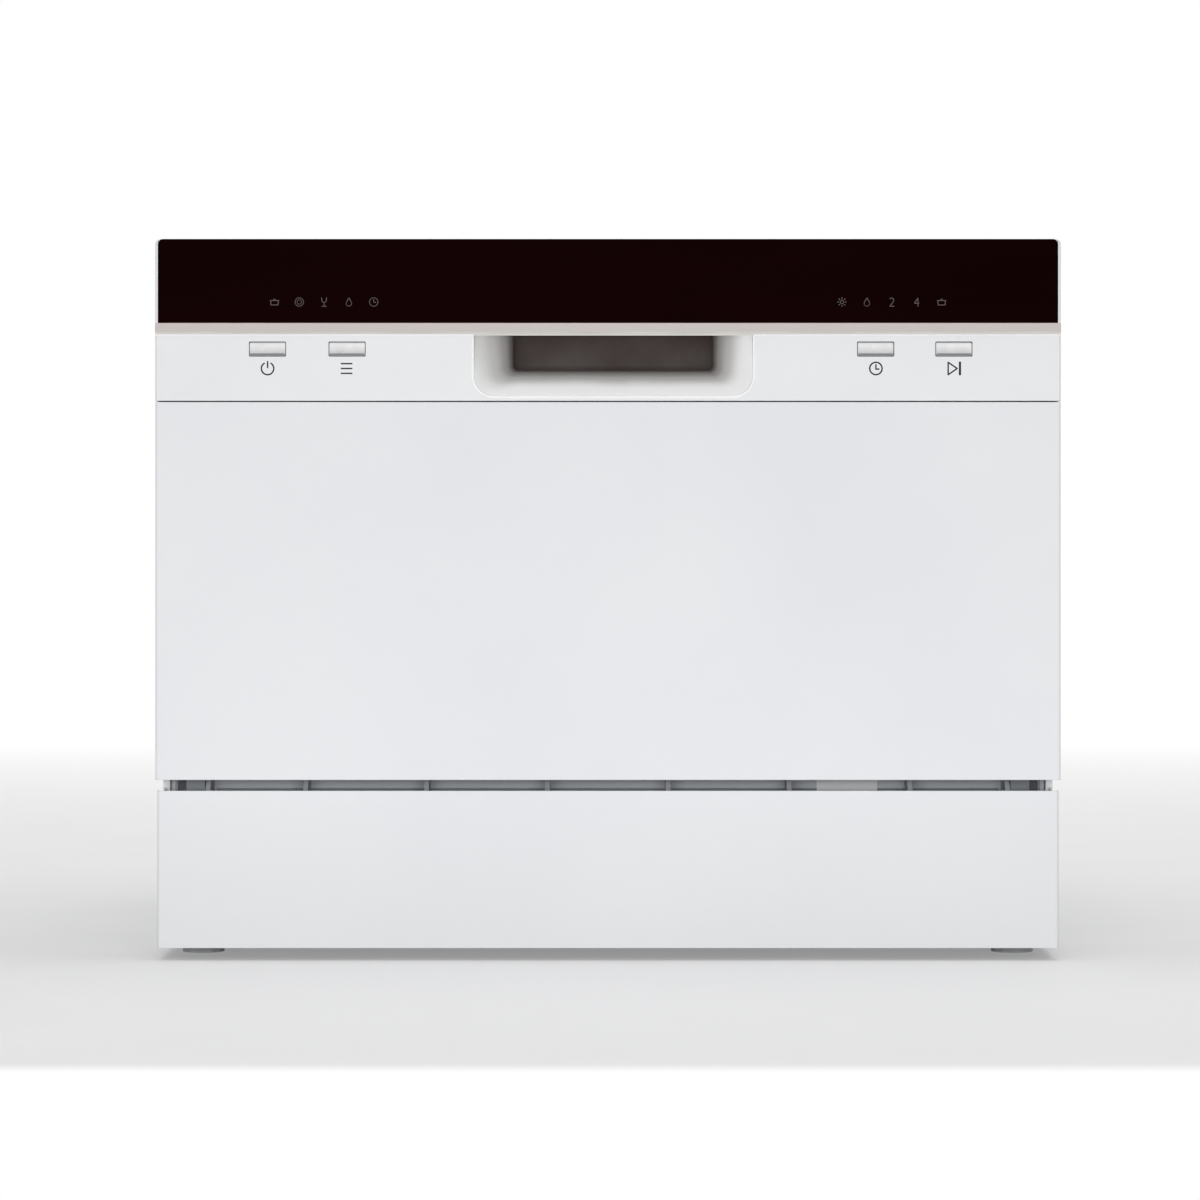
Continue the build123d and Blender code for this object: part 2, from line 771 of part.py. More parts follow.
def wash_pump():
    port = sump_x - sump_radius - 4
    volute_end = port - 26
    pump = drum_x(16, volute_end, port, sump_y, pump_z)
    pump += drum_x(pump_radius + 7, volute_end, port - 4, sump_y, pump_z)
    motor_end = volute_end - pump_length
    pump += drum_x(pump_radius, motor_end, volute_end, sump_y, pump_z)
    pump += drum_x(pump_radius - 12, motor_end - 8, motor_end, sump_y, pump_z)
    pump += drum_y(10, sump_y, sump_y + pump_radius + 20, pump_outlet_x(), pump_z + 22)
    shoe = tray_floor_z + wall
    for x in (motor_end + 20, volute_end - 20):
        pump += block(x - 4, x + 4, sump_y - 22, sump_y + 22, shoe, pump_z)
    return pump


def pump_outlet_x():
    return sump_x - sump_radius - 24


def heater():
    """Flow heater: a steel drum lying beside the pump, fed from its outlet."""
    z = pump_z + 22
    y0 = sump_y + pump_radius + 20
    x = pump_outlet_x()
    drum_end = x + heater_radius - 8
    drum = drum_x(heater_radius, drum_end - heater_length, drum_end, heater_y, pump_z)
    inlet = drum_y(10, y0, heater_y, x, z)
    return drum + inlet + drum_x(11, drum_end, drum_end + 6, heater_y, pump_z)


def spray_feed():
    """Pipe from the heater to the hub, which stands in the tub floor."""
    start = pump_outlet_x() + heater_radius - 2
    z, turn = pump_z, hub_x + 30
    route = [(start, heater_y, z), (turn - 8, heater_y, z), (turn, heater_y - 8, z), (turn, hub_y + 8, z)]
    route += [(turn - 8, hub_y, z), (hub_x + 8, hub_y, z), (hub_x, hub_y, z + 8), (hub_x, hub_y, z + 30)]
    pipe = tube(route, 9)
    pipe += drum_z(hub_radius, z + 30, arm_z - 2, hub_x, hub_y)
    pipe += drum_z(spindle_radius, arm_z - 2, arm_z + spray_thickness + 3, hub_x, hub_y, sides=16)
    top = arm_z + spray_thickness + 1
    return pipe + drum_z(spindle_radius + 4, top, top + 3, hub_x, hub_y)


def spray_arm():
    """Tapered two-armed blade with a hub and raised jets."""
    root, tip = 22.0, 11.0
    length = arm_reach - tip
    lean = asin((root - tip) / length)
    near, far = (root * sin(lean), root * cos(lean)), (length + tip * sin(lean), tip * cos(lean))
    sides = Polyline(near, far, (far[0], -far[1]), (near[0], -near[1]), close=True)
    outline = Circle(root) + Pos(length, 0) * Circle(tip) + make_face(sides)
    outline += Rot(0, 0, 180) * outline
    arm = extrude(Plane.XY.offset(arm_z) * outline, amount=spray_thickness)
    arm = chamfer(arm.edges().group_by(Axis.Z)[-1], 2.5)
    top = arm_z + spray_thickness
    for i, reach in enumerate(spaced(52, arm_reach - 20, 36)):
        for side in (-1, 1):
            x, y = side * reach, 4 * (i % 2)
            arm += block(x - 3, x + 3, y - 5, y + 1, top, top + 1.5)
    arm = Pos(hub_x, hub_y, 0) * arm
    return arm - rod_z(spindle_radius + running, arm_z - 1, top + 1, hub_x, hub_y)


def drain_pump():
    port = sump_x + sump_radius + 4
    pump = drum_x(20, port, port + 26, sump_y, pump_z) + drum_x(17, port + 26, port + 62, sump_y, pump_z)
    return pump + drum_y(7, sump_y, sump_y + 34, port + 13, pump_z)


def drain_hose():
    """From the drain pump, along the base, to the connector on the rear wall."""
    x, y = sump_x + sump_radius + 17, sump_y + 34
    route = [(x, y, pump_z), (x, 70, pump_z), (x + 20, 110, 84), (drain_x, 160, 84), (drain_x, 190, drain_z)]
    route.append((drain_x, tray_back - wall - 4, drain_z))
    return tube(route, 9)


def drain_connector():
    """Spigot with a relief at its root and a flange against the tray's wall."""
    inner = tray_back - wall
    body = block(drain_x - 15, drain_x + 15, inner - 4, inner, drain_z - 15, drain_z + 15)
    body += drum_y(drain_radius - 1, inner, inner + relief, drain_x, drain_z)
    body += rod_y(drain_radius, inner + relief, back, drain_x, drain_z)
    return body - drum_y(drain_radius - 2.5, tray_back, back, drain_x, drain_z)


def inlet_valve():
    """Solenoid valve behind the tray's wall, with its threaded end outside."""
    inner = tray_back - wall
    valve = drum_y(inlet_radius - 1, inner, inner + relief, inlet_x, inlet_z)
    valve += rod_y(inlet_radius, inner + relief, back, inlet_x, inlet_z)
    valve += block(inlet_x - 17, inlet_x + 17, inner - 6, inner, inlet_z - 17, inlet_z + 17)
    valve += block(inlet_x - 14, inlet_x + 14, inner - 34, inner - 6, inlet_z - 14, inlet_z + 14)
    valve += block(inlet_x - 13, inlet_x + 13, inner - 32, inner - 6, inlet_z + 14, inlet_z + 42)
    valve += drum_x(6, inlet_x - 26, inlet_x - 14, inner - 20, inlet_z)
    return valve - drum_y(inlet_radius - 3.5, inner, back, inlet_x, inlet_z)


def cord_gland():
    gland = drum_y(gland_radius, tray_back - wall, tray_back, gland_x, drain_z)
    gland += drum_y(gland_radius + 3, tray_back, tray_back + 4, gland_x, drain_z)
    return gland - drum_y(4, tray_back - wall, tray_back + 4, gland_x, drain_z)


def terminal_block():
    low = tray_floor_z + wall
    y = tray_back - wall
    made = block(gland_x - 50, gland_x - 18, y - 34, y, low, low + 24)
    for x in spaced(gland_x - 44, gland_x - 24, 10):
        made -= block(x - 3, x + 3, y - 34, y - 26, low + 12, low + 24)
    return made


def breaker_x():
    """The gap beside the tub that the air breaker stands in."""
    return -half + sheet + 1, -tub_half - sheet - 1


def air_breaker():
    outer, inner = breaker_x()
    case = block(outer, inner, breaker_front, breaker_back, breaker_low, breaker_top)
    case = chamfer(case.edges().filter_by(Axis.X), 14.0)
    middle = (outer + inner) / 2
    for y in (inlet_spigot_y, fill_spigot_y):
        case += drum_z(6, breaker_low - spigot_length, breaker_low, middle, y)
    for z in spaced(breaker_low + 35, breaker_top - 30, 35):
        case += block(inner, inner + 0.6, breaker_front + 15, breaker_back - 15, z - 1.5, z + 1.5)
    return case


def hose_drop(start, y):
    """A hose from a port on the base to a spigot under the air breaker."""
    outer, inner = breaker_x()
    middle = (outer + inner) / 2
    end = breaker_low - spigot_length
    route = [start, (middle + hose_bend, start[1], start[2]), (middle, start[1], start[2] + hose_bend)]
    route += [(middle, y, end - 34), (middle, y, end)]
    return tube(route, hose_radius)


def inlet_hose():
    return hose_drop((inlet_x - 26, tray_back - wall - 20, inlet_z), inlet_spigot_y)


def fill_hose():
    return hose_drop((salt_x - softener_radius - 8, salt_y - 50, tub_floor_z - 26), fill_spigot_y)


def softener():
    """Resin tank with a salt chamber whose neck stands in the tub floor."""
    low, top = tray_floor_z + wall, tub_floor_z - sheet
    tank = drum_z(softener_radius, low, top - 6, salt_x, salt_y)
    tank += drum_z(salt_radius + 8, top - 6, top, salt_x, salt_y)
    tank += drum_z(salt_radius + 3, top, tub_floor_z + 2, salt_x, salt_y)
    edge = softener_radius + 8
    tank += block(salt_x - edge, salt_x + 10, salt_y - edge - 2, salt_y - 20, low, top - 8)
    return tank - rod_z(salt_radius, low + 20, tub_floor_z + 2, salt_x, salt_y)


def salt_cap():
    z = tub_floor_z + 2
    cap = drum_z(salt_radius + 5, z + clear, z + 5, salt_x, salt_y)
    cap += drum_z(salt_radius - running, z - 10, z + clear, salt_x, salt_y, sides=16)
    return cap + block(salt_x - 18, salt_x + 18, salt_y - 3, salt_y + 3, z + 5, z + 9)


def pressure_switch():
    z = tray_floor_z + wall
    disc = drum_z(20, z, z + 16, level_x, level_y) + drum_z(4, z + 16, z + 26, level_x, level_y)
    return disc + block(level_x - 16, level_x + 16, level_y + 14, level_y + 32, z, z + 12)


def leak_float():
    z = tray_floor_z + wall
    return drum_z(float_radius, z, z + 12, float_x, float_y) + drum_z(3, z + 12, z + 26, float_x, float_y)


def float_switch():
    """Switch on a bracket over the float's stem."""
    z = tray_floor_z + wall
    post = float_y - float_radius - 4
    plate = block(float_x - 30, float_x + 30, post, post + 3, z, z + 52)
    return plate + block(float_x - 15, float_x + 15, post + 3, float_y + 15, z + 42, z + 52)


# Rack


def rack():
    """Wire rack: a floor grid, four walls and two rows of tines, welded from straight wires."""
    side, y0, y1 = rack_half, rack_front, rack_back
    low, rim = rack_floor_z, rack_rim_z
    runs = spaced(-side + 2 * wire, side - 2 * wire, rack_step)
    rungs = spaced(y0 + 2 * wire, y1 - 2 * wire, bar_step)

    def floor_bar(x_low, x_high, y_low, y_high):
        return block(x_low, x_high, y_low, y_high, low - wire, low + wire)

    solids = [grid(runs, rungs, wire, floor_bar)]
    levels = [low + 3 * wire, (low + rim) / 2, rim]
    rows = spaced(y0 + 2 * wire, y1 - 2 * wire, wall_step)
    for x in (-side, side):

        def side_bar(y_low, y_high, z_low, z_high):
            return block(x - wire, x + wire, y_low, y_high, z_low, z_high)

        solids.append(grid(rows, levels, wire, side_bar))
    columns = spaced(-side + 2 * wire, side - 2 * wire, wall_step)
    for y in (y0, y1):

        def end_bar(x_low, x_high, z_low, z_high):
            return block(x_low, x_high, y - wire, y + wire, z_low, z_high)

        solids.append(grid(columns, levels, wire, end_bar))
    foot = low + wire
    for x in (runs[3], runs[6]):
        row = block(x - thin_wire, x + thin_wire, rungs[0], rungs[-1], foot, foot + 2 * thin_wire)
        for y in spaced(rungs[0] + 12, rungs[-1] - 12, tine_step):
            row += block(x - thin_wire, x + thin_wire, y - thin_wire, y + thin_wire, foot, foot + tine_height)
        solids.append(row)
    return Compound(children=solids + [shelf_rod()])


def grid(first, second, radius, bar):
    """Bars at the first places crossed by bars at the second ones, as one flat net."""
    made = bar(first[0] - radius, first[-1] + radius, second[0] - radius, second[-1] + radius)
    for a0, a1 in zip(first, first[1:]):
        for b0, b1 in zip(second, second[1:]):
            made -= bar(a0 + radius, a1 - radius, b0 + radius, b1 - radius)
    return made


def axle_stubs():
    """Plastic carriers at the rack's corners, each with a stub that a wheel turns on."""
    made = []
    inner = rack_half + wire
    for y in wheel_places():
        for sign in (-1, 1):
            a, b = sorted((sign * inner, sign * (inner + 3)))
            z = ledge_z + wheel_radius
            carrier = block(a, b, y - 9, y + 9, z - 5, rack_floor_z + 30)
            a, b = sorted((sign * (inner + 3), sign * (inner + 4.5 + wheel_width + 1)))
            made.append(carrier + drum_x(axle_radius, a, b, y, z))
    return Compound(children=made)


def wheel_places():
    return rack_front + 55, rack_back - 55


def wheels(y):
    made = []
    z = ledge_z + wheel_radius
    inner = rack_half + wire + 3.5
    for sign in (-1, 1):
        a, b = sorted((sign * inner, sign * (inner + wheel_width)))
        wheel = drum_x(wheel_radius, a, b, y, z, sides=24)
        bore = (axle_radius + running) / cos(pi / 16)
        made.append(wheel - drum_x(bore, a, b, y, z, sides=16))
    return Compound(children=made)


def cup_shelf():
    """Folding shelf hung on a rod along the rack's left rim."""
    x0, z = shelf_axis()
    x1 = x0 + shelf_width
    y0, y1 = -shelf_length / 2, shelf_length / 2
    shelf = block(x0 + 6, x1, y0, y1, z - 2, z + 2)
    for x in spaced(x0 + 18, x1 - 12, 16):
        for y in (-shelf_length / 4, shelf_length / 4):
            shelf -= block(x - 4, x + 4, y - 48, y + 48, z - 2, z + 2)
    for y in (-70, 70):
        shelf += block(x0 - 4, x0 + 8, y - 10, y + 10, z - 4, z + 4)
        reach = shelf_rod_radius + running
        shelf -= block(x0 - reach, x0 + reach, y - 10, y + 10, z - 4, z + reach)
    return shelf


def shelf_axis():
    return -rack_half + 10, rack_rim_z + 12


def shelf_rod():
    """Rod with two feet, welded to the rack's left rim."""
    x0, z = shelf_axis()
    rod = rod_y(shelf_rod_radius, -shelf_length / 2, shelf_length / 2, x0, z)
    rim = rack_rim_z + wire
    for y in (-shelf_length / 2 + 4, shelf_length / 2 - 4):
        foot = [(x0 - 2, z), (x0 + 2, z), (-rack_half + wire, rim), (-rack_half - wire, rim)]
        rod += along_y(foot, y - 2, y + 2)
    return rod


def cutlery_basket():
    low = rack_floor_z + wire
    high = low + basket_height
    x0, x1 = basket_x - basket_width / 2, basket_x + basket_width / 2
    y0, y1 = basket_y - basket_length / 2, basket_y + basket_length / 2
    basket = block(x0, x1, y0, y1, low, high)
    for y in basket_cells():
        basket -= cell(y, low + basket_wall, high)
    window_low, window_high = low + 14, high - 16
    for y in basket_cells():
        for offset in (-18, 0, 18):
            basket -= block(x0, x1, y + offset - 5, y + offset + 5, window_low, window_high)
    rise = 34.0
    post = block(basket_x - 3, basket_x + 3, y0, y0 + 4, high, high + rise)
    basket += post + Pos(0, basket_length - 4, 0) * post
    return basket + block(basket_x - 3, basket_x + 3, y0, y1, high + rise - 5, high + rise)


def cell(y, low, high):
    reach = cell_length() / 2
    x = basket_width / 2 - basket_wall
    return block(basket_x - x, basket_x + x, y - reach, y + reach, low, high)


def cell_length():
    return (basket_length - 4 * basket_wall) / 3


def basket_cells():
    pitch = cell_length() + basket_wall
    return [basket_y + i * pitch for i in (-1, 0, 1)]


nodes = {
    "base_tray": base_tray(),
    "kick_panel": kick_panel(),
    "side_panel_right": side_panel(),
    "side_panel_left": mirrored(side_panel()),
    "top_cover": top_cover(),
    "back_panel": back_panel(),
    "feet": feet(),
    "tub_shell": tub_shell(),
    "tub_floor": tub_floor(),
    "tub_rear": tub_rear(),
    "door_seal": door_seal(),
    "strike": strike(),
    "hinge_brackets": hinge_brackets(),
    "door_springs": door_springs(),
    "door_outer_panel": door_outer_panel(),
    "inner_door": inner_door(),
    "lower_seal": lower_seal(),
    "hinge_arms": both_sides(hinge_arm()),
    "control_panel": control_panel(),
    "display_window": display_window(),
    "trim_strip": trim_strip(),
    "handle_cup": handle_cup(),
    "door_lock": door_lock(),
    "catch_springs": catch_springs(),
    "control_boards": control_boards(),
    "dispenser_body": dispenser_body(),
    "detergent_lid": detergent_lid(),
    "rinse_cap": rinse_cap(),
    "sump": sump(),
    "fine_filter": fine_filter(),
    "coarse_filter": coarse_filter(),
    "wash_pump": wash_pump(),
    "heater": heater(),
    "spray_feed": spray_feed(),
    "spray_arm": spray_arm(),
    "drain_pump": drain_pump(),
    "drain_hose": drain_hose(),
    "drain_connector": drain_connector(),
    "inlet_valve": inlet_valve(),
    "cord_gland": cord_gland(),
    "terminal_block": terminal_block(),
    "air_breaker": air_breaker(),
    "inlet_hose": inlet_hose(),
    "fill_hose": fill_hose(),
    "softener": softener(),
    "salt_cap": salt_cap(),
    "pressure_switch": pressure_switch(),
    "leak_float": leak_float(),
    "float_switch": float_switch(),
    "rack": rack(),
    "axle_stubs": axle_stubs(),
    "front_wheels": wheels(wheel_places()[0]),
    "rear_wheels": wheels(wheel_places()[1]),
    "cup_shelf": cup_shelf(),
    "cutlery_basket": cutlery_basket(),
}
for name, x in button_x.items():
    nodes[name] = button(x)

for name, shape in nodes.items():
    export_step(shape, f"parts/{name}.step")
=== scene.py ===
"""Looks of a table-top dishwasher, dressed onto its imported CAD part.

Lengths are in metres, X to the right, Y to the back, Z up. The door faces -Y.
"""

import json
import math

import bpy
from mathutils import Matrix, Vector


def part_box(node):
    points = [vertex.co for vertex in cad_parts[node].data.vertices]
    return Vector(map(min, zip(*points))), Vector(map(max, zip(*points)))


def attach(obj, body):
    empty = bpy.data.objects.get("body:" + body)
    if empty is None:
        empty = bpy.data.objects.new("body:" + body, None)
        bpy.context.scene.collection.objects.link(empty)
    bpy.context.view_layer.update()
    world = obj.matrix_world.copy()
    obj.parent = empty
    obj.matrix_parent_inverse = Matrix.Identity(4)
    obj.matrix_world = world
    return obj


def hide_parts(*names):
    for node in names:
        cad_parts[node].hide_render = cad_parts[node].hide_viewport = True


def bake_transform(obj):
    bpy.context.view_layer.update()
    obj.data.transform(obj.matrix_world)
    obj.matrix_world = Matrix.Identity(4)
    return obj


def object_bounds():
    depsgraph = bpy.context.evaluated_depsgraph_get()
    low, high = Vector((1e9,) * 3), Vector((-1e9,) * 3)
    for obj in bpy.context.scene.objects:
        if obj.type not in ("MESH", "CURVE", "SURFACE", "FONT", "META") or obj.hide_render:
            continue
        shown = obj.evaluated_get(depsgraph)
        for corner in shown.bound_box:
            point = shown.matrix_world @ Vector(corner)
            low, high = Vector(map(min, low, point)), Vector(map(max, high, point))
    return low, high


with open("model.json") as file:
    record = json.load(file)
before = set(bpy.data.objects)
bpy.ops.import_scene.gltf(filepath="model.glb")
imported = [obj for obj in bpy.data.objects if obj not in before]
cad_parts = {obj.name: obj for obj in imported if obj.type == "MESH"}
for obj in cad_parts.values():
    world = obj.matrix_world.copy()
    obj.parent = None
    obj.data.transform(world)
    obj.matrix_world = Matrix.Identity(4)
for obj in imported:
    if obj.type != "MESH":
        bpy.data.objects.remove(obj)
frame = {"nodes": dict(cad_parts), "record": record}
cad_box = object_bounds()
MM = 0.001

# The photograph, seen square from the front. Its pixels give places on the machine's front plane.
PHOTO_SIZE = 1200
PHOTO_SCALE = 0.60706 * MM
PHOTO_CENTRE_X = 608.0
PHOTO_TOP_Y = 239.0
CAMERA_X_PX = 600.0
CAMERA_Z_PX = 600.0
CAMERA_DISTANCE = 2.2
SENSOR_MM = 36.0

# Planes and levels that the CAD part gives
TOP = cad_box[1].z
FRONT = cad_box[0].y
BACK = cad_box[1].y
HALF = cad_box[1].x
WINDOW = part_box("display_window")
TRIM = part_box("trim_strip")
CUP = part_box("handle_cup")
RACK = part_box("rack")
SLOT_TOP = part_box("door_outer_panel")[0].z

# Places inside CAD nodes, which their boxes don't give
TRAY_WALL_Y = -177 * MM
CUP_WALL_Y = CUP[1].y - 2 * MM
CUP_MIDDLE = (CUP[0].x + CUP[1].x) / 2
KEYS = ("button_power", "button_program", "button_delay", "button_start")
KEY_MIDDLE = TRIM[0].z - 8.8 * MM
KEY_LOW = KEY_MIDDLE - 4.1 * MM
KEY_HIGH = KEY_MIDDLE + 4.1 * MM


def across(px):
    """X on the machine's front of a pixel column in the photograph."""
    return (px - PHOTO_CENTRE_X) * PHOTO_SCALE


def level(py):
    """Z on the machine's front of a pixel row in the photograph."""
    return TOP - (py - PHOTO_TOP_Y) * PHOTO_SCALE


def seen(red, green, blue):
    """A colour as it is seen in a picture, 0 to 255, as linear light."""
    parts = [c / 255 for c in (red, green, blue)]
    return tuple(c / 12.92 if c <= 0.04045 else ((c + 0.055) / 1.055) ** 2.4 for c in parts)


# Materials. Sizes of noise are the sizes of its patches, and colours are as seen in a picture.

BEVEL_SAMPLES = 4
EDGE_TURN = 0.8


class Finish:
    """A procedural material in the making: noise, dirt and wear that feed one shader."""

    def __init__(self, name, **constants):
        self.material = bpy.data.materials.new(name)
        self.material.use_nodes = True
        self.nodes = self.material.node_tree.nodes
        self.links = self.material.node_tree.links
        self.shader = self.nodes["Principled BSDF"]
        self.places = self.nodes.new("ShaderNodeTexCoord").outputs["Object"]
        for socket, value in constants.items():
            self.shader.inputs[socket.replace("_", " ")].default_value = value

    def link(self, source, socket):
        """Feeds a socket of the shader."""
        self.links.new(source, self.shader.inputs[socket])

    def noise(self, size, detail=3.0, stretch=(1, 1, 1), roughness=0.5):
        """Cloudy noise whose patches are about that size."""
        mapping = self.nodes.new("ShaderNodeMapping")
        mapping.inputs["Scale"].default_value = [1 / (size * s) for s in stretch]
        self.links.new(self.places, mapping.inputs["Vector"])
        texture = self.nodes.new("ShaderNodeTexNoise")
        texture.inputs["Scale"].default_value = 1.0
        texture.inputs["Detail"].default_value = detail
        texture.inputs["Roughness"].default_value = roughness
        self.links.new(mapping.outputs["Vector"], texture.inputs["Vector"])
        return texture.outputs["Fac"]

    def span(self, source, low, high, start=0.3, end=0.7):
        """The source between start and end, as a value between low and high."""
        node = self.nodes.new("ShaderNodeMapRange")
        limits = {"From Min": start, "From Max": end, "To Min": low, "To Max": high}
        for socket, value in limits.items():
            node.inputs[socket].default_value = value
        self.links.new(source, node.inputs["Value"])
        return node.outputs["Result"]

    def blend(self, factor, first, second):
        """A colour between two colours or colour sockets."""
        node = self.nodes.new("ShaderNodeMix")
        node.data_type = "RGBA"
        self.links.new(factor, node.inputs["Factor"])
        for name, value in (("A", first), ("B", second)):
            socket = next(s for s in node.inputs if s.name == name and s.type == "RGBA")
            if isinstance(value, tuple):
                socket.default_value = (*value, 1)
            else:
                self.links.new(value, socket)
        return next(s for s in node.outputs if s.type == "RGBA")

    def ramp(self, factor, stops, interpolation="LINEAR"):
        """A colour that runs through stops, each a place from 0 to 1 and its colour."""
        node = self.nodes.new("ShaderNodeValToRGB")
        node.color_ramp.interpolation = interpolation
        elements = node.color_ramp.elements
        for i, (place, colour) in enumerate(stops):
            stop = elements[i] if i < len(elements) else elements.new(place)
            stop.position = place
            stop.color = (*colour, 1)
        self.links.new(factor, node.inputs["Fac"])
        return node.outputs["Color"]

    def math(self, operation, first, second):
        """The result of a sum, product or the like of numbers or value sockets."""
        node = self.nodes.new("ShaderNodeMath")
        node.operation = operation
        for i, value in enumerate((first, second)):
            if isinstance(value, (int, float)):
                node.inputs[i].default_value = value
            else:
                self.links.new(value, node.inputs[i])
        return node.outputs["Value"]

    def axis(self, name):
        """One coordinate of the place on the piece."""
        node = self.nodes.new("ShaderNodeSeparateXYZ")
        self.links.new(self.places, node.inputs["Vector"])
        return node.outputs[name]

    def soft_edge(self, radius):
        """The normal with edges rounded off, and a mask that is 1 along those edges."""
        bevel = self.nodes.new("ShaderNodeBevel")
        bevel.samples = BEVEL_SAMPLES
        bevel.inputs["Radius"].default_value = radius
        flat = self.nodes.new("ShaderNodeNewGeometry")
        dot = self.nodes.new("ShaderNodeVectorMath")
        dot.operation = "DOT_PRODUCT"
        self.links.new(bevel.outputs["Normal"], dot.inputs[0])
        self.links.new(flat.outputs["Normal"], dot.inputs[1])
        return bevel.outputs["Normal"], self.span(dot.outputs["Value"], 1.0, 0.0, EDGE_TURN, 1.0)

    def bump(self, height, depth, normal=None):
        """Relief of that depth from a height, on top of another normal if one is given."""
        node = self.nodes.new("ShaderNodeBump")
        node.inputs["Strength"].default_value = 1.0
        node.inputs["Distance"].default_value = depth
        self.links.new(height, node.inputs["Height"])
        if normal is not None:
            self.links.new(normal, node.inputs["Normal"])
        self.links.new(node.outputs["Normal"], self.shader.inputs["Normal"])


def moulded(name, light, dark, rough, grain, relief=0.006 * MM):
    """Moulded surface: patchy tone, handled spots, edges rounded and rubbed lighter, fine grain."""
    made = Finish(name)
    cloud = made.noise(70 * MM, 4)
    tone = made.blend(made.span(cloud, 0, 1), dark, light)
    normal, worn = made.soft_edge(0.4 * MM)
    rubbed = made.math("MULTIPLY", worn, made.span(made.noise(9 * MM, 5), 0.0, 0.5))
    pale = tuple(min(1.0, c * 1.25 + 0.02) for c in light)
    made.link(made.blend(rubbed, tone, pale), "Base Color")
    smudge = made.noise(35 * MM, 6, roughness=0.65)
    made.link(made.span(smudge, *rough), "Roughness")
    made.bump(made.noise(grain, 2), relief, normal)
    return made.material


def white_paint():
    """Powder-coated sheet with a faint orange peel."""
    made = Finish("white_paint", Specular_IOR_Level=0.4)
    cloud = made.noise(150 * MM, 4)
    tone = made.blend(made.span(cloud, 0, 1), seen(228, 230, 233), seen(232, 234, 236))
    dust = made.span(made.noise(2.2 * MM, 8, roughness=0.8), 0.0, 0.015, 0.62, 0.8)
    normal, worn = made.soft_edge(0.7 * MM)
    scuffed = made.math("MULTIPLY", worn, made.span(made.noise(6 * MM, 5), 0.0, 0.35))
    dusty = made.blend(dust, tone, seen(176, 172, 164))
    # Darker grey towards the bottom, from 110 mm down to 20 mm above the floor.
    lower_darkening = made.span(made.axis("Z"), 0.45, 0.0, 20 * MM, 110 * MM)
    darkened_low = made.blend(lower_darkening, dusty, seen(214, 214, 214))
    made.link(made.blend(scuffed, darkened_low, seen(214, 214, 214)), "Base Color")
    made.link(made.span(made.noise(60 * MM, 6, roughness=0.65), 0.3, 0.44), "Roughness")
    made.bump(made.noise(2.4 * MM, 2), 0.012 * MM, normal)
    return made.material


def trim_grey():
    """Satin strip, rosy at its upper edge and greyer below, with a painted highlight along its
    lower edge.
    """
    made = Finish("trim_grey", Specular_IOR_Level=0.3)
    rise = made.span(made.axis("Z"), 0.0, 1.0, TRIM[0].z, TRIM[1].z)
    cloud = made.span(made.noise(40 * MM, 4), -0.06, 0.06)
    # The two lowest stops are a painted highlight along the strip's lower edge.
    stops = (
        (0.0, seen(224, 221, 217)),
        (0.16, seen(216, 212, 208)),
        (0.22, seen(198, 196, 191)),
        (0.55, seen(203, 195, 192)),
        (1.0, seen(207, 196, 194)),
    )
    made.link(made.ramp(made.math("ADD", rise, cloud), stops), "Base Color")
    made.link(made.span(made.noise(20 * MM, 5), 0.3, 0.42), "Roughness")
    normal, _ = made.soft_edge(0.3 * MM)
    made.bump(made.noise(0.5 * MM, 2), 0.004 * MM, normal)
    return made.material


def key_silver():
    """Satin lacquer on the crowned keys, with painted light and shade: paler towards their upper
    edge, darker towards their foot.
    """
    made = Finish("key_silver", Specular_IOR_Level=0.4)
    # Painted light and shade: paler up the key, darker towards its foot.
    rise = made.span(made.axis("Z"), 0.0, 1.0, KEY_LOW, KEY_HIGH)
    cloud = made.span(made.noise(6 * MM, 5), -0.08, 0.08)
    painted_light_and_tone = made.math("ADD", rise, cloud)
    made.link(made.blend(painted_light_and_tone, seen(196, 196, 197), seen(248, 248, 248)), "Base Color")
    made.link(made.span(made.noise(12 * MM, 5), 0.22, 0.34), "Roughness")
    normal, _ = made.soft_edge(0.3 * MM)
    made.bump(made.noise(0.3 * MM, 2), 0.004 * MM, normal)
    return made.material


def black_glass():
    """Dark tinted acrylic: smooth, with faint wiping marks."""
    made = Finish("black_glass", Specular_IOR_Level=0.02, Specular_Tint=(1.0, 0.5, 0.5, 1.0))
    cloud = made.noise(90 * MM, 3, stretch=(3, 1, 1))
    made.link(made.blend(made.span(cloud, 0, 1), seen(13, 0, 1), seen(18, 2, 3)), "Base Color")
    wiping = made.noise(5 * MM, 6, stretch=(9, 1, 1), roughness=0.7)
    made.link(made.span(wiping, 0.05, 0.13), "Roughness")
    normal, _ = made.soft_edge(0.5 * MM)
    made.bump(made.noise(60 * MM, 1), 0.01 * MM, normal)
    return made.material


def brushed(name, light, dark, rough, stretch, groove):
    """Rolled or brushed metal with long fine scratches and dull patches."""
    made = Finish(name, Metallic=1.0)
    lines = made.noise(groove, 4, stretch=stretch, roughness=0.7)
    cloud = made.noise(50 * MM, 4)
    mixed = made.math("ADD", made.math("MULTIPLY", lines, 0.6), made.math("MULTIPLY", cloud, 0.4))
    made.link(made.blend(made.span(mixed, 0, 1, 0.35, 0.65), dark, light), "Base Color")
    made.link(made.span(mixed, *rough, 0.35, 0.65), "Roughness")
    normal, _ = made.soft_edge(0.5 * MM)
    made.bump(lines, 0.002 * MM, normal)
    return made.material


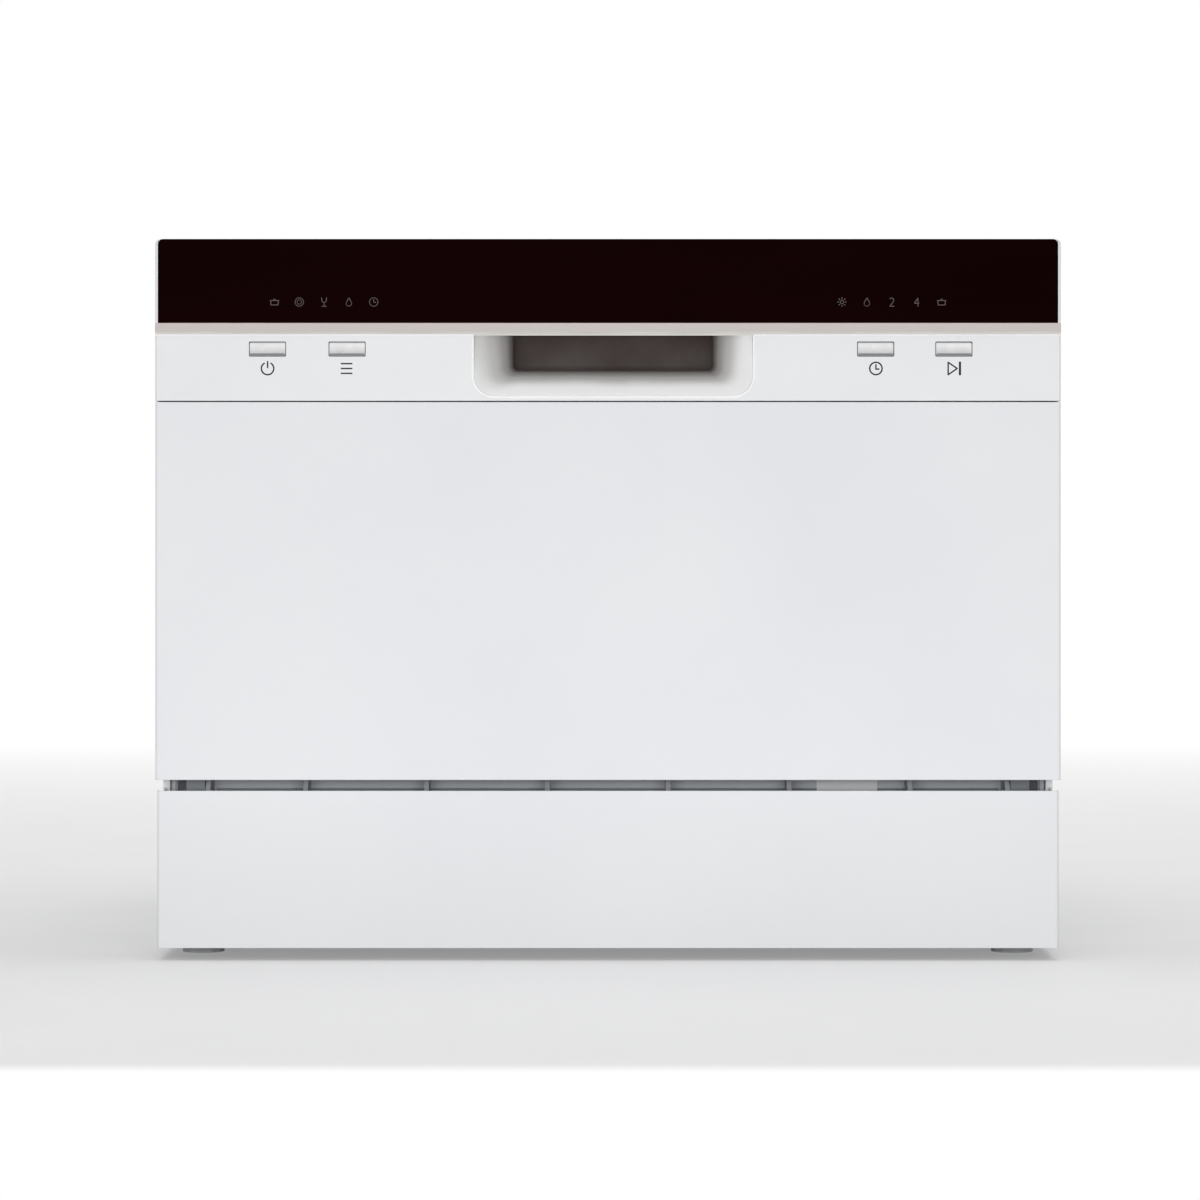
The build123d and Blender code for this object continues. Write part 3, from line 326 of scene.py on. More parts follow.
def perforated():
    """Filter plate: steel pierced with rows of small round holes."""
    made = Finish("perforated", Metallic=1.0)
    cells = made.nodes.new("ShaderNodeTexVoronoi")
    cells.inputs["Scale"].default_value = 1 / (2.2 * MM)
    cells.inputs["Randomness"].default_value = 0.0
    made.links.new(made.places, cells.inputs["Vector"])
    solid = made.span(cells.outputs["Distance"], 0, 1, 0.3, 0.34)
    cloud = made.span(made.noise(20 * MM, 4), 0, 1)
    tone = made.blend(cloud, seen(168, 170, 172), seen(190, 191, 193))
    made.link(made.blend(solid, seen(24, 25, 27), tone), "Base Color")
    made.link(made.span(solid, 0.7, 0.3, 0, 1), "Roughness")
    made.bump(solid, 0.2 * MM)
    return made.material


def rubber():
    """Matt grey rubber with a pale bloom in spots."""
    made = Finish("rubber_grey", Specular_IOR_Level=0.3)
    cloud = made.noise(25 * MM, 5)
    bloom = made.span(made.noise(4 * MM, 6, roughness=0.7), 0.0, 0.3, 0.5, 0.75)
    tone = made.blend(made.span(cloud, 0, 1), seen(84, 85, 87), seen(98, 98, 100))
    made.link(made.blend(bloom, tone, seen(124, 123, 120)), "Base Color")
    made.link(made.span(cloud, 0.6, 0.8), "Roughness")
    normal, _ = made.soft_edge(0.5 * MM)
    made.bump(made.noise(0.6 * MM, 3), 0.02 * MM, normal)
    return made.material


def grip_silver():
    """Satin silver lacquer in the grip's well: painted shade darkens it inwards and along its left
    side, painted light makes its foot paler.
    """
    made = Finish("grip_dark", Specular_IOR_Level=0.15)
    # Painted shade: darker with depth into the well.
    depth = made.span(made.axis("Y"), 0.0, 1.0, CUP[0].y, CUP_WALL_Y)
    cloud = made.span(made.noise(30 * MM, 4), -0.03, 0.03)
    # Painted light: paler towards the well's foot.
    foot = made.span(made.axis("Z"), -0.08, 0.0, CUP[0].z + 15 * MM, CUP[1].z - 12 * MM)
    # Painted shade: darker along the well's left side.
    flank = made.span(made.axis("X"), 0.16, 0.0, CUP[0].x, CUP[0].x + 28 * MM)
    place = made.math("ADD", made.math("ADD", depth, foot), made.math("ADD", flank, cloud))
    # The darker stops are painted shade, the last one a shaded, near-black back wall.
    stops = (
        (0.0, seen(232, 232, 232)),
        (0.25, seen(193, 192, 191)),
        (0.45, seen(172, 169, 167)),
        (0.7, seen(132, 127, 124)),
        (1.0, seen(66, 57, 54)),
    )
    made.link(made.ramp(place, stops, "EASE"), "Base Color")
    made.link(made.span(made.noise(12 * MM, 5), 0.32, 0.45), "Roughness")
    made.bump(made.noise(0.5 * MM, 2), 0.004 * MM)
    return made.material


def circuit_board():
    """Lacquered board with copper tracks showing through."""
    made = Finish("board_green", Coat_Weight=0.4, Coat_Roughness=0.2)
    bricks = made.nodes.new("ShaderNodeTexBrick")
    bricks.inputs["Scale"].default_value = 1 / (9 * MM)
    bricks.inputs["Mortar Size"].default_value = 0.05
    made.links.new(made.places, bricks.inputs["Vector"])
    tone = made.blend(made.span(made.noise(8 * MM, 4), 0, 1), seen(14, 76, 40), seen(26, 98, 52))
    made.link(made.blend(bricks.outputs["Fac"], tone, seen(92, 128, 56)), "Base Color")
    made.link(made.span(made.noise(5 * MM, 4), 0.35, 0.5), "Roughness")
    made.bump(bricks.outputs["Fac"], 0.05 * MM)
    return made.material


def printed(name, light, dark, rough):
    """Thin printed ink: matt, slightly uneven in cover."""
    made = Finish(name, Specular_IOR_Level=0.3)
    cover = made.noise(0.8 * MM, 4, roughness=0.7)
    made.link(made.blend(made.span(cover, 0, 1), dark, light), "Base Color")
    made.link(made.span(cover, rough, rough + 0.1), "Roughness")
    made.bump(cover, 0.004 * MM)
    return made.material


# Each moulded plastic's light and dark colour, range of roughness, size of grain and its relief
MOULDED = {
    "white_plastic": ((236, 237, 239), (231, 233, 235), (0.26, 0.38), 0.9 * MM, 0.006 * MM),
    # Near-pure white, whiter than the white plastic, as a painted highlight on beads.
    "painted_highlight_white": ((254, 254, 254), (249, 249, 250), (0.24, 0.34), 0.9 * MM, 0.006 * MM),
    "base_grey": ((198, 202, 205), (188, 192, 196), (0.5, 0.68), 1.2 * MM, 0.03 * MM),
    "white_pp": ((226, 228, 230), (214, 217, 220), (0.4, 0.55), 0.8 * MM, 0.015 * MM),
    "grey_pp": ((152, 157, 162), (138, 143, 149), (0.4, 0.55), 0.8 * MM, 0.02 * MM),
    "dark_pp": ((62, 63, 66), (48, 49, 52), (0.4, 0.58), 0.8 * MM, 0.02 * MM),
    "wire_grey": ((186, 190, 196), (168, 173, 180), (0.35, 0.5), 1.5 * MM, 0.03 * MM),
    "foot_grey": ((168, 170, 172), (154, 156, 158), (0.5, 0.65), 0.8 * MM, 0.02 * MM),
}
MATERIALS = {
    name: moulded(name, seen(*light), seen(*dark), rough, grain, relief)
    for name, (light, dark, rough, grain, relief) in MOULDED.items()
}
STAINLESS = (seen(216, 216, 217), seen(196, 197, 199), (0.26, 0.42), (60, 1, 1), 0.5 * MM)
ZINC = (seen(204, 206, 208), seen(182, 185, 188), (0.38, 0.52), (3, 1, 2), 3 * MM)
MATERIALS |= {
    "white_paint": white_paint(),
    "black_glass": black_glass(),
    "trim_grey": trim_grey(),
    "grip_dark": grip_silver(),
    "key_silver": key_silver(),
    "stainless": brushed("stainless", *STAINLESS),
    "zinc": brushed("zinc", *ZINC),
    "rubber_grey": rubber(),
    "board_green": circuit_board(),
}
# CAD nodes whose finish differs from that of their material slot
OWN_FINISHES = {"fine_filter": perforated(), "feet": MATERIALS["foot_grey"]}
LAMP_INK = printed("lamp_ink", seen(112, 104, 98), seen(96, 88, 84), 0.45)
DARK_INK = printed("dark_ink", seen(36, 37, 40), seen(28, 29, 32), 0.45)


def dress_cad():
    """Gives every CAD node the finish of its material slot."""
    for row in frame["record"]["subparts"]:
        node = frame["nodes"][row["node"]]
        material = OWN_FINISHES.get(row["node"], MATERIALS[row["material_slot"]])
        if not node.material_slots:
            node.data.materials.append(material)
        for place in node.material_slots:
            place.material = material


# Shapes, each as a pair of vertices and faces


def joined(shapes):
    """Several shapes as one."""
    vertices, faces = [], []
    for points, sides in shapes:
        start = len(vertices)
        vertices += points
        faces += [[start + i for i in side] for side in sides]
    return vertices, faces


def bands(count, rings, closed=False):
    """Faces between rings that follow each other, each of that count of points."""
    faces = []
    for i in range(rings if closed else rings - 1):
        near, far = i * count, (i + 1) % rings * count
        for k in range(count):
            j = (k + 1) % count
            faces.append([near + k, near + j, far + j, far + k])
    return faces


def rectangle(x0, x1, low, high):
    """The outline of a rectangle."""
    return [(x0, low), (x1, low), (x1, high), (x0, high)]


def prism(outline, y0, y1):
    """A plate with an outline of (x, z) points, from y0 in front to y1."""
    count = len(outline)
    vertices = [(x, y, z) for y in (y0, y1) for x, z in outline]
    faces = [list(range(count)), list(range(2 * count - 1, count - 1, -1))]
    faces += [[i, i + count, (i + 1) % count + count, (i + 1) % count] for i in range(count)]
    return vertices, faces


def tube(path, radius, sides=8, closed=False):
    """A round bar along a path, with flat ends unless it is closed on itself."""
    points = [Vector(p) for p in path]
    count = len(points)
    heading = points[1] - points[0]
    side = heading.orthogonal().normalized()
    vertices = []
    for i, point in enumerate(points):
        before = points[i - 1] if i or closed else point
        after = points[(i + 1) % count] if i < count - 1 or closed else point
        turned = after - before
        side.rotate(heading.rotation_difference(turned))
        heading = turned
        other = heading.cross(side).normalized()
        for k in range(sides):
            angle = 2 * math.pi * k / sides
            reach = side * math.cos(angle) + other * math.sin(angle)
            vertices.append(tuple(point + radius * reach))
    faces = bands(sides, count, closed)
    if not closed:
        faces += [list(range(sides))[::-1], list(range((count - 1) * sides, count * sides))]
    return vertices, faces


def bent(path, radius, closed=False, steps=4, most=0.45):
    """A path whose corners are rounded off, by at most that share of the runs beside them."""
    points = [Vector(p) for p in path]
    count = len(points)
    made = []
    for i, point in enumerate(points):
        if not closed and i in (0, count - 1):
            made.append(point)
            continue
        back, on = points[i - 1] - point, points[(i + 1) % count] - point
        reach = min(radius, back.length * most, on.length * most)
        start, end = point + back.normalized() * reach, point + on.normalized() * reach
        for k in range(steps + 1):
            t = k / steps
            made.append(start * (1 - t) ** 2 + point * 2 * t * (1 - t) + end * t**2)
    return made


def rounded_outline(x, low, high, width, corner, steps=8):
    """(x, z) points round a rectangle with round corners, from its right side upwards."""
    points = []
    for quarter, (side, edge) in enumerate(((1, high), (-1, high), (-1, low), (1, low))):
        centre_x = x + side * (width / 2 - corner)
        centre_z = edge - corner if edge == high else edge + corner
        for i in range(steps + 1):
            turn = math.radians(90 * quarter + 90 * i / steps)
            points.append((centre_x + corner * math.cos(turn), centre_z + corner * math.sin(turn)))
    return points


def piece(name, shape, material, body, smooth=False):
    """A mesh object with a material, which rides on a body when one is given."""
    mesh = bpy.data.meshes.new(name)
    vertices, faces = shape
    mesh.from_pydata(vertices, [], faces)
    mesh.validate()
    if smooth:
        mesh.polygons.foreach_set("use_smooth", [True] * len(mesh.polygons))
    mesh.materials.append(material)
    made = bpy.data.objects.new(name, mesh)
    bpy.context.scene.collection.objects.link(made)
    if body:
        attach(made, body)
    return made


# Signs on the front. Each is drawn about (0, 0) as thin strokes and then set in place. Rows and
# columns are in the photograph's pixels, the lamps' columns as the first one and a step.

INK_DEPTH = 0.04 * MM
KEY_SIGN_ROW = 368.5
KEY_SIGN_COLUMNS = (267.6, 346.6, 875.9, 955.0)
KEY_SIGN_SIZE = 8.2 * MM
KEY_SIGN_LINE = 0.85 * MM
LAMP_SIGN_ROW = 302.0
LEFT_LAMPS = (274.5, 24.8)
RIGHT_LAMPS = (842.0, 24.9)
LAMP_SIGN_SIZE = 5.6 * MM
LAMP_SIGN_LINE = 0.38 * MM


def stroke(points, width, closed=False):
    """Outlines of the short straight bars that make up a drawn line of (x, z) points."""
    bars = []
    ends = points[1:] + points[:1] if closed else points[1:]
    for (x0, z0), (x1, z1) in zip(points, ends):
        along = Vector((x1 - x0, z1 - z0)).normalized() * width / 2
        side = Vector((-along.y, along.x))
        a, b = Vector((x0, z0)) - along * 0.5, Vector((x1, z1)) + along * 0.5
        bars.append([tuple(a + side), tuple(b + side), tuple(b - side), tuple(a - side)])
    return bars


def arc(radius, start, end, steps=20, x=0.0, z=0.0):
    """(x, z) points round an arc, in degrees from the right, anticlockwise."""
    turns = [math.radians(start + (end - start) * i / steps) for i in range(steps + 1)]
    return [(x + radius * math.cos(t), z + radius * math.sin(t)) for t in turns]


def power_sign(size, width):
    r = size * 0.46
    return stroke(arc(r, 120, 420), width) + stroke([(0, r * 0.1), (0, r * 1.15)], width)


def menu_sign(size, width):
    reach, step = size * 0.4, size * 0.36
    bars = []
    for z in (-step, 0, step):
        bars += stroke([(-reach, z), (reach, z)], width)
    return bars


def clock_sign(size, width):
    r = size * 0.46
    hands = stroke([(0, r * 0.62), (0, -r * 0.1), (r * 0.5, -r * 0.1)], width)
    return stroke(arc(r, 0, 360), width) + hands


def start_sign(size, width):
    r = size * 0.46
    triangle = [(-r * 1.1, r), (-r * 1.1, -r), (r * 0.35, 0)]
    return stroke(triangle, width, closed=True) + stroke([(r * 0.8, r), (r * 0.8, -r)], width * 1.6)


def pot_sign(size, width):
    r = size * 0.4
    body = [(-r, r * 0.4), (-r, -r * 0.8), (r, -r * 0.8), (r, r * 0.4)]
    lid = stroke([(-r * 1.25, r * 0.4), (r * 1.25, r * 0.4)], width)
    return stroke(body, width) + lid + stroke([(-r * 0.25, r * 0.75), (r * 0.25, r * 0.75)], width)


def plate_sign(size, width):
    return stroke(arc(size * 0.46, 0, 360), width) + stroke(arc(size * 0.24, 0, 360, 14), width)


def glass_sign(size, width):
    r = size * 0.46
    bowl = [(-r * 0.6, r), (-r * 0.45, r * 0.1), (0, -r * 0.2), (r * 0.45, r * 0.1), (r * 0.6, r)]
    stem = stroke([(0, -r * 0.2), (0, -r)], width)
    return stroke(bowl, width) + stem + stroke([(-r * 0.5, -r), (r * 0.5, -r)], width)


def drop_sign(size, width):
    r = size * 0.3
    return stroke(arc(r, 150, 390, 14, z=-r * 0.5) + [(0, size * 0.46)], width, closed=True)


def sun_sign(size, width):
    rays = []
    for i in range(8):
        turn = math.radians(45 * i)
        near, far = size * 0.32, size * 0.5
        ends = [(d * math.cos(turn), d * math.sin(turn)) for d in (near, far)]
        rays += stroke(ends, width)
    return stroke(arc(size * 0.18, 0, 360, 12), width) + rays


def two_sign(size, width):
    r = size * 0.46
    line = [(-0.5, 0.7), (0, 1), (0.5, 0.6), (0.4, 0.1), (-0.5, -1), (0.55, -1)]
    return stroke([(r * x, r * z) for x, z in line], width)


def four_sign(size, width):
    r = size * 0.46
    return stroke([(r * 0.3, -r), (r * 0.3, r), (-r * 0.55, -r * 0.3), (r * 0.6, -r * 0.3)], width)


def signs(name, places, size, width, material):
    """A row of signs printed on the front of the door."""
    shapes = []
    for draw, px, py in places:
        for bar in draw(size, width):
            moved = [(across(px) + x, level(py) + z) for x, z in bar]
            shapes.append(prism(moved, FRONT - INK_DEPTH, FRONT + INK_DEPTH))
    return piece(name, joined(shapes), material, "door")


def key_signs():
    """A sign under each key."""
    drawings = (power_sign, menu_sign, clock_sign, start_sign)
    places = [(draw, px, KEY_SIGN_ROW) for draw, px in zip(drawings, KEY_SIGN_COLUMNS)]
    signs("key_signs", places, KEY_SIGN_SIZE, KEY_SIGN_LINE, DARK_INK)


def lamp_signs():
    """Two groups of five small signs in the window, at its left and at its right."""
    left = (pot_sign, plate_sign, glass_sign, drop_sign, clock_sign)
    right = (sun_sign, drop_sign, two_sign, four_sign, pot_sign)
    places = []
    for drawings, (first, step) in ((left, LEFT_LAMPS), (right, RIGHT_LAMPS)):
        places += [(draw, first + step * i, LAMP_SIGN_ROW) for i, draw in enumerate(drawings)]
    signs("lamp_signs", places, LAMP_SIGN_SIZE, LAMP_SIGN_LINE, LAMP_INK)


# Front details


def grip_well():
    """The finger well with round corners, turning smoothly into its back wall."""
    mouth_y = CUP[0].y
    rim = 1.2 * MM
    high, low = CUP[1].z - rim, CUP[0].z + rim
    width = CUP[1].x - CUP[0].x - 2 * rim
    narrowing, rise = 47.4 * MM, 17.1 * MM
    corner, inner_corner = 12.5 * MM, 3 * MM
    rings = []
    steps = 18
    for i in range(steps + 1):
        turn = math.pi / 2 * i / steps
        close = math.sin(turn)
        depth = 0.8 * (1 - math.cos(turn)) + 0.2 * close
        rounding = corner + (inner_corner - corner) * close
        span = width - narrowing * close
        outline = rounded_outline(CUP_MIDDLE, low + rise * close, high, span, rounding)
        y = mouth_y + (CUP_WALL_Y - mouth_y) * depth
        behind = max(y, WINDOW[1].y + 0.1 * MM)
        rings.append([(x, behind if z > TRIM[0].z - 0.3 * MM else y, z) for x, z in outline])
    wall_width, wall_height = width - narrowing, high - low - rise
    for shrink in (0.8, 0.45, 0.12):
        foot = low + rise + wall_height * (1 - shrink) / 2
        size = (foot, foot + wall_height * shrink, wall_width * shrink)
        outline = rounded_outline(CUP_MIDDLE, *size, inner_corner * shrink)
        rings.append([(x, CUP_WALL_Y, z) for x, z in outline])
    count = len(rings[0])
    vertices = [point for loop in rings for point in loop]
    faces = bands(count, len(rings))
    faces.append([(len(rings) - 1) * count + k for k in range(count)])
    well = (vertices, faces)
    made = piece("grip_well", well, MATERIALS["grip_dark"], "door", smooth=True)
    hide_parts("handle_cup")


def grip_rim():
    """Rounded bead round the sides and foot of the grip, in near-pure white as a painted highlight.
    """
    radius, corner, corner_steps = 0.8 * MM, 13.1 * MM, 12
    width = CUP[1].x - CUP[0].x - radius
    foot, top, straight = CUP[0].z + radius / 2, TRIM[0].z, 12 * MM
    outline = rounded_outline(CUP_MIDDLE, foot, CUP[1].z, width, corner, corner_steps)
    shown = [(x, z) for x, z in outline if z < top - straight]
    left = [p for p in shown if p[0] < CUP_MIDDLE]
    right = [p for p in shown if p[0] >= CUP_MIDDLE]
    path = [(left[0][0], top)] + left + right + [(right[-1][0], top)]
    bar = tube([(x, FRONT + 0.25 * MM, z) for x, z in path], radius)
    # Its near-pure white is a painted highlight.
    piece("grip_rim", bar, MATERIALS["painted_highlight_white"], "door", smooth=True)


def trim_highlight_strip():
    """Near-white strip along the trim's lower edge, as a painted highlight, and the trim's own edge
    across the grip.
    """
    high = TRIM[0].z + 0.05 * MM
    low = high - 0.75 * MM
    rear = FRONT + 0.5 * MM
    sides = []
    for x0, x1 in ((TRIM[0].x, CUP[0].x), (CUP[1].x, TRIM[1].x)):
        sides.append(prism(rectangle(x0, x1, low, high), FRONT - 0.1 * MM, rear))
    # The near-white strip is a painted highlight.
    piece("trim_highlight_strip", joined(sides), MATERIALS["painted_highlight_white"], "door")
    middle = prism(rectangle(CUP[0].x, CUP[1].x, low, high), FRONT + 0.1 * MM, rear)
    piece("trim_foot", middle, MATERIALS["trim_grey"], "door")


# Name, material slot, distances from the cabinet's side to the inner and outer edge, and how far
# each stands proud of the guard
GUARD_PARTS = (
    ("spring_guards", "grey_pp", 25.2 * MM, 2 * MM, 0.0),
    ("guard_seals", "rubber_grey", 13.5 * MM, 8.5 * MM, 0.5 * MM),
    ("guard_ribs", "base_grey", 7 * MM, 4.5 * MM, 1 * MM),
)


def slot_ends():
    """Guards in front of the door springs, and a grey strip along the base over the kick panel, a
    painted shadow of the kick panel's top edge.
    """
    near, low, high = FRONT + 48 * MM, 92 * MM, SLOT_TOP + 3 * MM
    for name, slot, inner, outer, proud in GUARD_PARTS:
        ends = []
        for side in (-1, 1):
            outline = rectangle(side * (HALF - inner), side * (HALF - outer), low, high)
            ends.append(prism(outline, near - proud, near + 1 * MM))
        piece(name, joined(ends), MATERIALS[slot], "cabinet")
    # Painted shadow: a grey strip on the base's wall where the kick panel's top edge shades it.
    reach, shadow_strip_top, shadow_strip_height = HALF - 30 * MM, 100.9 * MM, 8 * MM
    outline = rectangle(-reach, reach, shadow_strip_top - shadow_strip_height, shadow_strip_top)
    strip = prism(outline, TRAY_WALL_Y - 0.3 * MM, TRAY_WALL_Y + 0.1 * MM)
    piece("base_shadow_strip", strip, MATERIALS["grey_pp"], "cabinet")


def bare_plate(name, slot, outline, y0, y1):
    """A thin plate with nothing on it, of an outline's place, low and high edge and width."""
    shape = prism(rounded_outline(*outline, 1 * MM, 3), y0, y1)
    piece(name, shape, MATERIALS[slot], "cabinet")


def bare_plates():
    """A pale label on the base behind the gap under the door, and a metal one on the back."""
    label = (150 * MM, 88 * MM, 106.5 * MM, 38 * MM)
    bare_plate("slot_label", "white_plastic", label, TRAY_WALL_Y - 0.4 * MM, TRAY_WALL_Y)
    plate = (-20 * MM, 180 * MM, 225 * MM, 80 * MM)
    bare_plate("rear_plate", "zinc", plate, BACK - 0.1 * MM, BACK + 0.4 * MM)


def ring(outer, inner, y0, y1):
    """A frame between two outlines that have the same count of points."""
    count = len(outer)
    vertices = [(x, y, z) for y in (y0, y1) for outline in (outer, inner) for x, z in outline]
    faces = []
    for k in range(count):
        j = (k + 1) % count
        faces.append([k, j, count + j, count + k])
        faces.append([2 * count + j, 2 * count + k, 3 * count + k, 3 * count + j])
        faces.append([j, k, 2 * count + k, 2 * count + j])
        faces.append([count + k, count + j, 3 * count + j, 3 * count + k])
    return vertices, faces


def key_wells():
    """Dark sleeves that the four keys slide in, seen as a line round each key."""
    outer_gap, inner_gap, corner = 0.44 * MM, 0.05 * MM, 0.5 * MM
    shapes = []
    for name in KEYS:
        low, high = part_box(name)
        middle, width = (low.x + high.x) / 2, high.x - low.x
        outlines = []
        for gap in (outer_gap, inner_gap):
            place = (middle, KEY_LOW - gap, KEY_HIGH + gap, width + 2 * gap)
            outlines.append(rounded_outline(*place, corner + gap, 2))
        shapes.append(ring(*outlines, FRONT + 0.4 * MM, FRONT + 1.4 * MM))
    piece("key_wells", joined(shapes), MATERIALS["dark_pp"], "door")


# How far behind the front and above the key's foot the bevel's corners lie
LIP_PROFILE = (
    (0.98 * MM, 0.1 * MM),
    (0.06 * MM, 1.25 * MM),
    (0.5 * MM, 1.45 * MM),
    (1.1 * MM, 0.3 * MM),
)


def key_lips():
    """The bevel along the foot of each key, which faces down, in a darker grey than the key as
    painted shade.
    """
    inset = 0.5 * MM
    ends = [[0, 1, 2, 3], [7, 6, 5, 4]]
    sides = [[0, 4, 5, 1], [1, 5, 6, 2], [2, 6, 7, 3], [3, 7, 4, 0]]
    for name in KEYS:
        low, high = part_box(name)
        vertices = []
        for x in (low.x + inset, high.x - inset):
            vertices += [(x, FRONT + y, KEY_LOW + z) for y, z in LIP_PROFILE]
        # The darker grey is painted shade on the key's downward bevel.
        piece(f"{name}_lip", (vertices, ends + sides), MATERIALS["grey_pp"], name)


def door_edges():
    """Steel strips that close the door's inner side, beside and above the pan, up to the fascia."""
    pan_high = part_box("inner_door")[1]
    wall, catch, strip_low = 2.6 * MM, 20 * MM, 146 * MM
    rear = pan_high.y - 1.2 * MM
    side_x, top_z = HALF - wall, TOP - wall
    over_pan = pan_high.z - 1 * MM
    strips = []
    for side in (-1, 1):
        edge, flank, window = (side * x for x in (side_x, pan_high.x + 0.1 * MM, catch))
        strips.append(rectangle(flank, edge, strip_low, top_z))
        strips.append(rectangle(window, flank, over_pan, top_z))
    plates = [prism(outline, rear - 0.8 * MM, rear) for outline in strips]
    piece("door_edges", joined(plates), MATERIALS["stainless"], "door")


# Wire rack

WIRE = 2.0 * MM
THIN_WIRE = 1.5 * MM
RACK_FLOOR = 152 * MM
RACK_RIM = 250 * MM
TINE_TOP = 216 * MM
TINE_RUNS = (3, 6)
SHELF_ROD_LENGTH = 240 * MM


def spaced(low, high, step):
    """Places from low to high, evenly spaced at about the step."""
    count = max(1, round((high - low) / step))
    return [low + (high - low) * i / count for i in range(count + 1)]


def wire_rack():
    """Round coated wires: U-shaped hoops both ways, two rings, tines and the shelf's rod."""
    x0, x1 = RACK[0].x + WIRE, RACK[1].x - WIRE
    y0, y1 = RACK[0].y + WIRE, RACK[1].y - WIRE
    corner = 9 * MM
    runs = spaced(x0 + 2 * WIRE, x1 - 2 * WIRE, 42 * MM)
    rungs = spaced(y0 + 2 * WIRE, y1 - 2 * WIRE, 46 * MM)
    hoops = [((x, y0), (x, y1)) for x in runs] + [((x0, y), (x1, y)) for y in rungs]
    shapes = []
    for near, far in hoops:
        hoop = [(*near, RACK_RIM), (*near, RACK_FLOOR), (*far, RACK_FLOOR), (*far, RACK_RIM)]
        shapes.append(tube(bent(hoop, corner), THIN_WIRE))
    half_way, lowest = (RACK_FLOOR + RACK_RIM) / 2, RACK_FLOOR + 3 * WIRE
    for z, radius in ((RACK_RIM, WIRE), (half_way, THIN_WIRE), (lowest, THIN_WIRE)):
        loop = bent([(x, y, z) for x, y in rectangle(x0, x1, y0, y1)], corner, closed=True)
        shapes.append(tube(loop, radius, closed=True))
    foot = RACK_FLOOR + WIRE
    for x in (runs[i] for i in TINE_RUNS):
        shapes.append(tube([(x, rungs[0], foot), (x, rungs[-1], foot)], THIN_WIRE))
        for y in spaced(rungs[0] + 12 * MM, rungs[-1] - 12 * MM, 34 * MM):
            tine = [(x, y, foot), (x, y, TINE_TOP)]
            shapes.append(tube(tine, THIN_WIRE))
            shapes.append(ball((x, y, TINE_TOP), THIN_WIRE * 1.15))
    rod_x, rod_z, reach = x0 + 10 * MM, RACK_RIM + 12 * MM, SHELF_ROD_LENGTH / 2 - 2 * MM
    rod = [(x0, -reach, RACK_RIM), (rod_x, -reach, rod_z)]
    rod += [(rod_x, reach, rod_z), (x0, reach, RACK_RIM)]
    shapes.append(tube(bent(rod, 5 * MM), WIRE))
    rack = joined(shapes)
    made = piece("wire_rack", rack, MATERIALS["wire_grey"], "rack", smooth=True)
    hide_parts("rack")


def ball(centre, radius, sides=8, rings=4):
    """A small round bead of coating."""
    vertices, faces = [], []
    for i in range(rings + 1):
        lean = math.pi * (0.02 + 0.96 * i / rings)
        for k in range(sides):
            turn = 2 * math.pi * k / sides
            out = math.sin(lean)
            point = (out * math.cos(turn), out * math.sin(turn), math.cos(lean))
            vertices.append(tuple(centre[a] + radius * point[a] for a in range(3)))
    for i in range(rings):
        near, far = i * sides, (i + 1) * sides
        for k in range(sides):
            j = (k + 1) % sides
            faces.append([near + k, far + k, far + j, near + j])
    faces += [list(range(sides)), list(range(rings * sides, (rings + 1) * sides))[::-1]]
    return vertices, faces


# Springs, thread and screws


def door_coils():
    """Tension springs from the base to the hinge arms' tails, with a hook at each end."""
    low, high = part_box("door_springs")
    y = (low.y + high.y) / 2
    coil_low, coil_high = low.z + 9 * MM, high.z - 8 * MM
    wire, eye, stem = 0.75 * MM, 0.9 * MM, 2 * MM
    turns, steps, radius = 26, 14, 3.3 * MM
    count = turns * steps
    for side in (-1, 1):
        x = side * (high.x - 4.2 * MM)
        path = [(x, y, low.z + eye), (x, y, coil_low - stem)]
        for i in range(count + 1):
            angle = 2 * math.pi * i / steps
            z = coil_low + (coil_high - coil_low) * i / count
            path.append((x + radius * math.cos(angle), y + radius * math.sin(angle), z))
        path += [(x, y, coil_high + stem), (x, y, high.z - eye)]
        name = f"door_coil_{'left' if side < 0 else 'right'}"
        made = piece(name, tube(path, wire, 6), MATERIALS["zinc"], None, smooth=True)
        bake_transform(made)
        if side > 0:
            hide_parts("door_springs")


def inlet_thread():
    """Rolled thread on the water inlet, as a ridge that winds along it."""
    inlet_x, inlet_z = -180 * MM, 36 * MM
    pitch, radius, ridge, steps = 1.8 * MM, 12.9 * MM, 0.55 * MM, 28
    start, end = BACK - 16 * MM, BACK - 1.5 * MM
    path = []
    for i in range(int((end - start) / pitch * steps) + 1):
        angle = 2 * math.pi * i / steps
        x, z = inlet_x + radius * math.cos(angle), inlet_z + radius * math.sin(angle)
        path.append((x, start + pitch * i / steps, z))
    thread = tube(path, ridge, 5)
    piece("inlet_thread", thread, MATERIALS["white_pp"], "cabinet", smooth=True)


# Reach and rise of a screw head's round rings, in radii, then the same for its cross recess
HEAD_RINGS = ((1.0, 0.0), (1.0, 0.35), (0.86, 0.52), (0.6, 0.62))
RECESS_STAR = (0.5, 0.2, 0.17, 0.2)
RECESS_RINGS = ((1.0, 0.62), (0.7, 0.3))


def screw_head(centre, toward, radius=3.6 * MM):
    """A pan-head screw with a cross recess, facing along toward."""
    steps = 16
    rings = [([reach] * steps, rise) for reach, rise in HEAD_RINGS]
    star = [RECESS_STAR[k % len(RECESS_STAR)] for k in range(steps)]
    rings += [([share * reach for reach in star], rise) for share, rise in RECESS_RINGS]
    turned = Vector((0, 0, 1)).rotation_difference(Vector(toward)).to_matrix()
    vertices = []
    for reaches, rise in rings:
        for k, reach in enumerate(reaches):
            turn = 2 * math.pi * k / steps
            point = Vector((reach * math.cos(turn), reach * math.sin(turn), rise)) * radius
            vertices.append(tuple(Vector(centre) + turned @ point))
    faces = bands(steps, len(rings))
    faces.append([(len(rings) - 1) * steps + k for k in range(steps)])
    return vertices, faces


